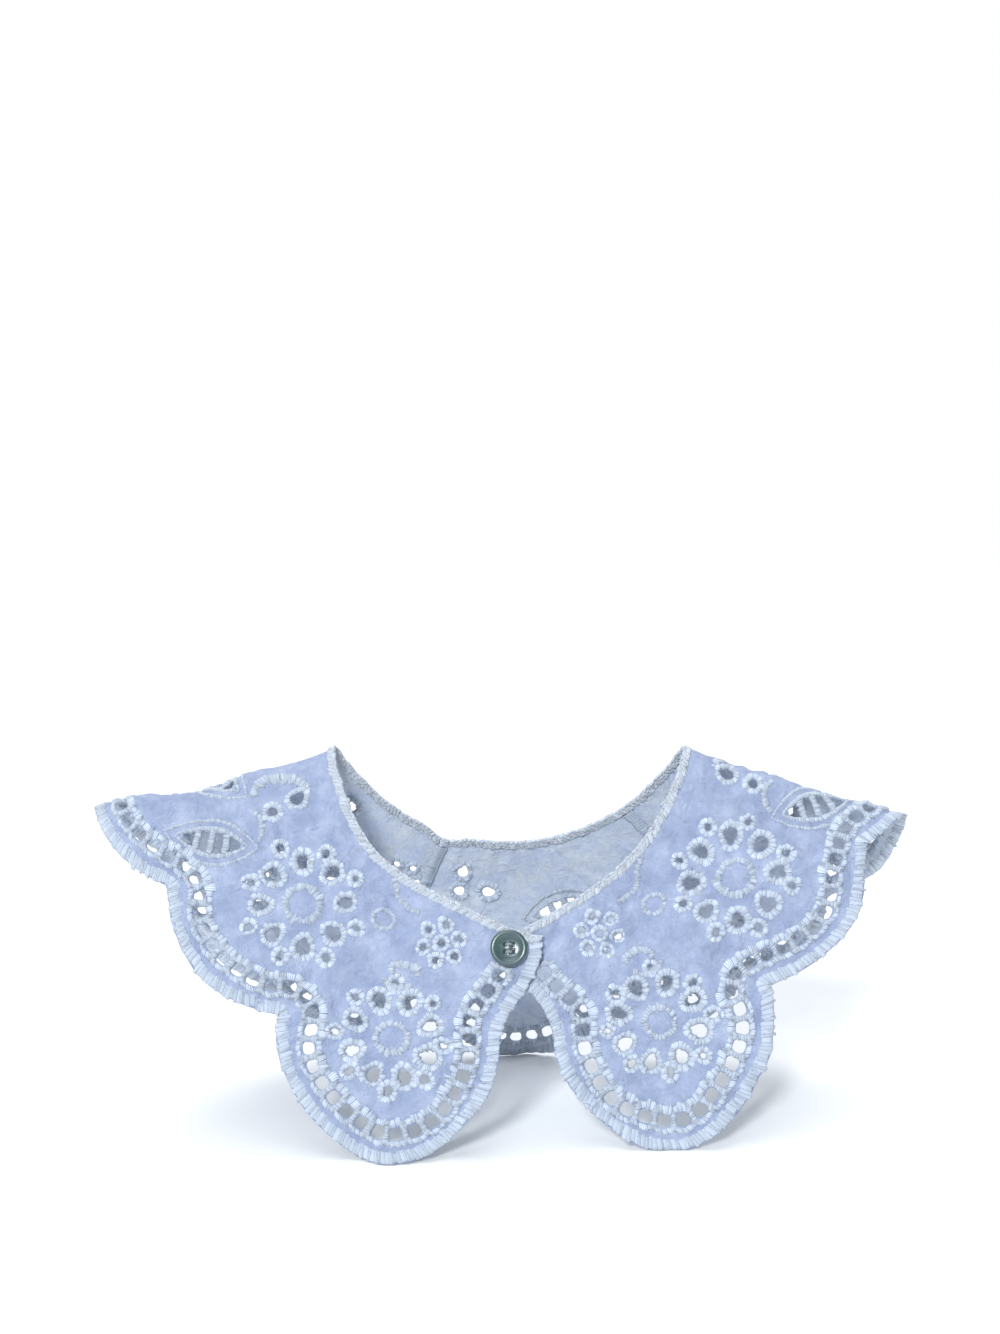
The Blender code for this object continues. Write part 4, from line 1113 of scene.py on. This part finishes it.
def leaf_stitches(threads):
    """Satin round each leaf's holes and along its outline, and the bars between the holes."""
    rng = np.random.default_rng(25)
    for side, a, r, rib in LEAVES:
        place = MotifFrame(side, a, r)
        thread = threads[place.part]
        turn = math.radians(rib)
        for (reach, half), grow, width, height in ((LEAF_HOLE, 0.75, 2.5, 1.0), (LEAF_LINE, 0.0, 1.9, 0.85)):
            u = np.linspace(-reach - grow, reach + grow, 40)
            v = (half + grow) * (1 - (u / (reach + grow)) ** 2)

            def taper(t):
                return width / 2 / SIZE * (0.45 + 0.55 * np.sin(np.pi * t) ** 0.6)

            for sign in (1, -1):
                line = place.points(turned(np.stack([u, sign * v], axis=1), turn))
                thread.satin(line, rng, height=height, **both_sides(taper), **STITCHES["leaf edge"])
        for (_, left), (right, _) in zip(LEAF_BARS, LEAF_BARS[1:]):
            u = (left + right) / 2
            half = LEAF_HOLE[1] * (1 - (u / LEAF_HOLE[0]) ** 2)
            bar = np.stack([np.full(9, u), np.linspace(-half, half, 9)], axis=1)
            thread.satin(place.points(turned(bar, turn)), rng, **STITCHES["leaf bar"])


def satin_lines(threads):
    """Crescents, arches and stems on both fronts, and the uncut oval rings."""
    rng = np.random.default_rng(26)
    for side in (-1, 1):
        for points, thin, thick in SATIN_LINES.values():
            table = np.array(points)
            line = curve_through(flat(side * (RIDGE + table[:, 0]), table[:, 1]), 0.4)
            name = part_of(side * (RIDGE + table[0, 0]))

            def half(t):
                return (SATIN_LOFT + thin + (thick - thin) * np.sin(np.pi * t)) / 2 / SIZE

            threads[name].satin(line, rng, **both_sides(half), **STITCHES["satin line"])
        a, r, length, width = OVAL_RING
        place = MotifFrame(side, a, r)
        ring = anticlockwise(place.points(oval(2 * length * OVAL_LINE, 2 * width * OVAL_LINE, 28)))
        threads[place.part].satin(ring, rng, **STITCHES["oval ring"])


def buttonhole(thread):
    """Satin round the slit under the button."""
    ring_stitches(thread, *buttonhole_shape(), 1.1, 0.35, np.random.default_rng(27))


def neck_stitches():
    """Binding of dense slanting stitches over the raw neck edge, with a looped bead along its top."""
    rng = np.random.default_rng(28)
    thread = Thread()
    q = np.linspace(LEFT_CORNER + 0.2, RIGHT_CORNER - 0.3, 700)
    for kind, offset in (("binding", 0.0), ("bead", 0.0), ("chain", 0.9), ("chain", 2.2)):
        thread.satin(flat(q, neck_radius(q) + offset), rng, **STITCHES[kind])
    piece = thread.build("neck_stitches", NECK_THREAD)
    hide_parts("neck_binding")
    return piece


def seam_stitches(name, seam, node_name):
    """Allowance of a back seam inside the collar, held by level overlock stitches."""
    rng = np.random.default_rng(29)
    thread = Thread()
    low = float(neck_radius(np.array(seam))) + 2.7
    line = flat(np.full(90, seam), np.linspace(low, 134.5, 90))
    thread.satin(line, rng, **STITCHES["overlock"])
    thread.satin(line + flat(np.array(seam + 90.0), np.array(2.0)), rng, **STITCHES["overlock edge"])
    piece = thread.build(name, WHITE_THREAD)
    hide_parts(node_name)
    return piece


# Button.

def button_place():
    q, r = np.array([-(RIDGE + BUTTON_AT[0])]), np.array([BUTTON_AT[1]])
    _, down, normal = [v[0] for v in slopes(q, r)]
    centre = middle(q, r)[0] - np.array([*BOX_MIDDLE, 0.0])
    return centre, np.cross(down, normal), -down, normal


def circle(radius, count, centre=(0.0, 0.0)):
    turn = np.arange(count) / count * 2 * np.pi
    return np.array(centre) + radius * np.stack([np.cos(turn), np.sin(turn)], axis=1)


def button():
    """Turned disc with a rounded rim, a dished face and four holes."""
    centre, across, up, normal = button_place()
    count = 96
    loops, holes = [circle(BUTTON_MIDDLE, count)], []
    rounding, hole_height = BUTTON_HOLE_ROUNDING
    for sx, sy in ((1, 1), (-1, 1), (-1, -1), (1, -1)):
        at = np.array([sx, sy]) * BUTTON_HOLE_SPREAD
        loops += [circle(BUTTON_HOLE_RADIUS + rounding, 24, at), circle(BUTTON_HOLE_RADIUS, 24, at)]
        holes.append(loops[-1])
    xy, tris, mid, _ = triangles(np.vstack(loops + [np.zeros((1, 2))]), loops, 1e-7, 1e-8)
    for hole in holes:
        outside = ~inside(mid, hole)
        tris, mid = tris[outside], mid[outside]
    flat_count = len(xy)
    rim, *hole_edges = [np.array([int(np.argmin(np.linalg.norm(xy - p, axis=1))) for p in loop])
                        for loop in [loops[0]] + holes]
    face = np.full(flat_count, BUTTON_FACE)
    face[np.concatenate(hole_edges)] = hole_height
    grid = 2 * flat_count + np.arange(len(BUTTON_PROFILE) * count).reshape(len(BUTTON_PROFILE), count)
    beside, next_rim = np.roll(grid, -1, axis=1), np.roll(rim, -1)
    walls = [np.stack([grid[:-1], grid[1:], beside[1:], beside[:-1]], axis=-1).reshape(-1, 4),
             np.stack([rim, grid[0], beside[0], next_rim], axis=1),
             np.stack([rim + flat_count, next_rim + flat_count, beside[-1], grid[-1]], axis=1)]
    for ids in hole_edges:
        ahead = np.roll(ids, -1)
        walls.append(np.stack([ids, ahead, ahead + flat_count, ids + flat_count], axis=1))
    outer = [np.column_stack([circle(r, count), np.full(count, h)]) for r, h in BUTTON_PROFILE]
    back = np.full(flat_count, BUTTON_BACK)
    local = np.vstack([np.column_stack([xy, face]), np.column_stack([xy, back])] + outer)
    lift = local[:, 2:3] + WALL / 2 + BUTTON_STAND
    verts = (centre + across * local[:, :1] + up * local[:, 1:2] + normal * lift) / 1000
    faces = [np.vstack([tris, tris[:, ::-1] + flat_count]), np.vstack(walls)]
    if np.dot(np.cross(across, up), normal) < 0:
        faces = [f[:, ::-1] for f in faces]
    piece = mesh_piece("button_face", verts, faces, shell_material())
    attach(piece, "root")
    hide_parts("button")
    return piece


def strand(path, radius):
    """Round tube along a path of 3-D points, as points, faces and ends."""
    path = np.asarray(path, float)
    tangent = np.gradient(path, axis=0)
    tangent /= np.linalg.norm(tangent, axis=1)[:, None]
    side = np.cross(tangent, np.array([0.31, 0.17, 0.93]))
    side /= np.linalg.norm(side, axis=1)[:, None]
    top = np.cross(side, tangent)
    c, s = circle(1.0, 8).T[:, None, :, None]
    ring = path[:, None] + (side[:, None] * c + top[:, None] * s) * radius
    grid = np.arange(len(path) * 8).reshape(len(path), 8)
    beside = np.roll(grid, -1, axis=1)
    quads = np.stack([grid[:-1], beside[:-1], beside[1:], grid[1:]], axis=-1).reshape(-1, 4)
    return ring.reshape(-1, 3), quads, [grid[0][::-1], grid[-1]]


def thread_paths():
    """Thread of the button, as paths of (across, up, out) in mm with their radii: rows, loop and shank."""
    rng = np.random.default_rng(31)
    spread = BUTTON_HOLE_SPREAD
    top = WALL / 2 + BUTTON_STAND + 1.55
    paths = []
    for row in (-1, 1):
        for k in range(4):
            t = np.linspace(0, 1, 17)
            v = row * spread + (k - 1.5) * 0.22 + 0.05 * rng.standard_normal() * np.sin(np.pi * t)
            h = top - 1.3 + 1.75 * np.sin(np.pi * t) ** 0.42 + 0.08 * rng.standard_normal()
            paths.append((np.stack([-spread + 2 * spread * t, v, h], axis=1), 0.00017))
    t = np.linspace(0, 1, 21)
    bow = np.sin(np.pi * t)
    paths.append((np.stack([-spread - 0.75 * bow, -0.9 + 2.2 * t, top + 0.1 + 0.45 * bow], axis=1), 0.00014))
    t = np.linspace(0, 1, 120)
    low, high = -2.6, WALL / 2 + 0.75
    wound = np.stack([0.95 * np.cos(40 * t), 0.95 * np.sin(40 * t), low + (high - low) * t], axis=1)
    paths.append((wound, 0.00022))
    for k in range(5):
        u, v = 0.45 * math.cos(k * 1.3), 0.45 * math.sin(k * 1.3)
        core = np.array([(u, v, x) for x in np.linspace(low - 0.2, high + 0.4, 5)])
        paths.append((core, 0.00038))
    return paths


def button_thread():
    """Silvery thread through the holes, and the wound shank under the button."""
    centre, across, up, normal = button_place()
    verts, quads, ends, count = [], [], [], 0
    for path, radius in thread_paths():
        laid = (centre + across * path[:, :1] + up * path[:, 1:2] + normal * path[:, 2:]) / 1000
        points, sides, caps = strand(laid, radius)
        verts.append(points)
        quads.append(sides + count)
        ends += [cap + count for cap in caps]
        count += len(points)
    piece = mesh_piece("button_thread", np.vstack(verts), [np.vstack(quads), np.array(ends)], SILVER_THREAD,
                       np.zeros((count, 2)))
    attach(piece, "root")
    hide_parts("button_shank")
    return piece


# Surroundings.

def studio():
    """Pale floor under a wide soft sky, with a soft window in front and a weaker light from behind."""
    bpy.ops.mesh.primitive_plane_add(size=14.0, location=(0, 2.0, -0.0004))
    floor = bpy.context.object
    floor.name = "floor"
    floor.data.materials.append(floor_material())
    lamps = [("sky", (-0.18, 0.0, 1.0), 60.0, 1.90, (0.92, 0.96, 1.0)),
             ("window", (-0.22, -0.80, 0.50), 11.0, 2.50, (0.94, 0.97, 1.0)),
             ("back_fill", (0.25, 0.85, 0.55), 55.0, 1.4, (0.94, 0.97, 1.0))]
    for name, place, spread, power, colour in lamps:
        data = bpy.data.lights.new(name, "SUN")
        data.angle = math.radians(spread)
        data.energy = power
        data.color = colour
        lamp = bpy.data.objects.new(name, data)
        lamp.location = place
        lamp.rotation_euler = (-Vector(place)).to_track_quat("-Z", "Y").to_euler()
        bpy.context.scene.collection.objects.link(lamp)
    world = bpy.data.worlds.new("white")
    bpy.context.scene.world = world
    world.use_nodes = True
    tree = world.node_tree
    white = tree.nodes["Background"]
    sockets(white, Color=(1, 1, 1, 1), Strength=1.0)
    dim = node(tree, "ShaderNodeBackground", Color=(0.84, 0.92, 1.0, 1), Strength=0.20)
    seen = node(tree, "ShaderNodeLightPath").outputs["Is Camera Ray"]
    mix = node(tree, "ShaderNodeMixShader", None,
               {"Fac": seen, 1: dim.outputs["Background"], 2: white.outputs["Background"]})
    tree.links.new(mix.outputs["Shader"], tree.nodes["World Output"].inputs["Surface"])
    bpy.context.scene.view_settings.view_transform = "Standard"


def camera():
    """Camera at the photograph's view of the collar."""
    elevation = math.radians(12.8)
    distance = 0.6721
    target = Vector((-BOX_MIDDLE[0], 5.39 - BOX_MIDDLE[1], 88.0)) / 1000
    data = bpy.data.cameras.new("camera")
    data.lens = 43.97
    data.sensor_width = 36.0
    data.shift_x = -0.0058
    data.shift_y = 0.172
    data.clip_start = 0.01
    item = bpy.data.objects.new("camera", data)
    item.location = target + distance * Vector((0, -math.cos(elevation), math.sin(elevation)))
    item.rotation_euler = (math.radians(90) - elevation, 0, 0)
    bpy.context.scene.collection.objects.link(item)
    bpy.context.scene.camera = item


COTTON = voile("cotton_voile", [(0.34, (0.37, 0.435, 0.63)), (0.50, (0.45, 0.52, 0.72)),
                                (0.66, (0.56, 0.63, 0.82))], 0.12)
# Painted light: the inside of the cloth is a much lighter copy of the same voile, standing in for light that
# comes through the thin back panel
COTTON_INSIDE_PAINTED_LIGHT = voile("cotton_voile_inside_painted_light", [(0.34, (0.74, 0.83, 1.0)), (0.66, (0.90, 0.95, 1.0))], 0.22)
# The first colour of each thread is painted shade for the grooves between its stitches
WHITE_THREAD = thread_material("white_thread", (0.36, 0.42, 0.54), (0.50, 0.60, 0.82), (0.88, 0.95, 1.0))
NECK_THREAD = thread_material("neck_thread", (0.33, 0.38, 0.47), (0.57, 0.65, 0.80), (0.93, 0.97, 1.0))
SILVER_THREAD = thread_material("silver_thread", (0.6, 0.62, 0.64), (0.50, 0.55, 0.60), (0.86, 0.88, 0.90))

# Cloth pieces: node replaced, angles of its seams, flat size in metres, flat area in square metres.
CLOTH_PIECES = {
    "front_left": (None, LEFT_SEAM, (0.1387, 0.3116), 0.0261),
    "back": (LEFT_SEAM, RIGHT_SEAM, (0.1896, 0.1190), 0.0145),
    "front_right": (RIGHT_SEAM, None, (0.1173, 0.2557), 0.0198),
}


def main():
    camera()
    studio()
    line = ladder_line()
    shapes = eyelet_shapes()
    cut = [(place, ring) for place, ring, _ in shapes]
    holes = ladder_hole_outlines(line) + [place.points(ring) for place, ring in cut] + leaf_hole_outlines()
    place, ring = buttonhole_shape()
    holes.append(place.points(ring))
    kinds = {kind: {name: Thread() for name in CLOTH_PIECES} for kind in ("edging", "ladder", "motifs")}
    motifs = kinds["motifs"]
    edging(kinds["edging"])
    ladder(kinds["ladder"], line)
    eyelets(motifs, shapes)
    flower_rings(motifs)
    leaf_stitches(motifs)
    satin_lines(motifs)
    buttonhole(motifs["front_left"])
    for name, (low, high, size, area) in CLOTH_PIECES.items():
        cloth = cloth_piece("cloth_" + name, low, high, holes, COTTON)
        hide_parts(name)
        stitches = [threads[name].build(kind + "_" + name, WHITE_THREAD) for kind, threads in kinds.items()]
    neck_stitches()
    seam_stitches("seam_stitches_left", LEFT_SEAM, "seam_left")
    seam_stitches("seam_stitches_right", RIGHT_SEAM, "seam_right")
    button()
    button_thread()


main()
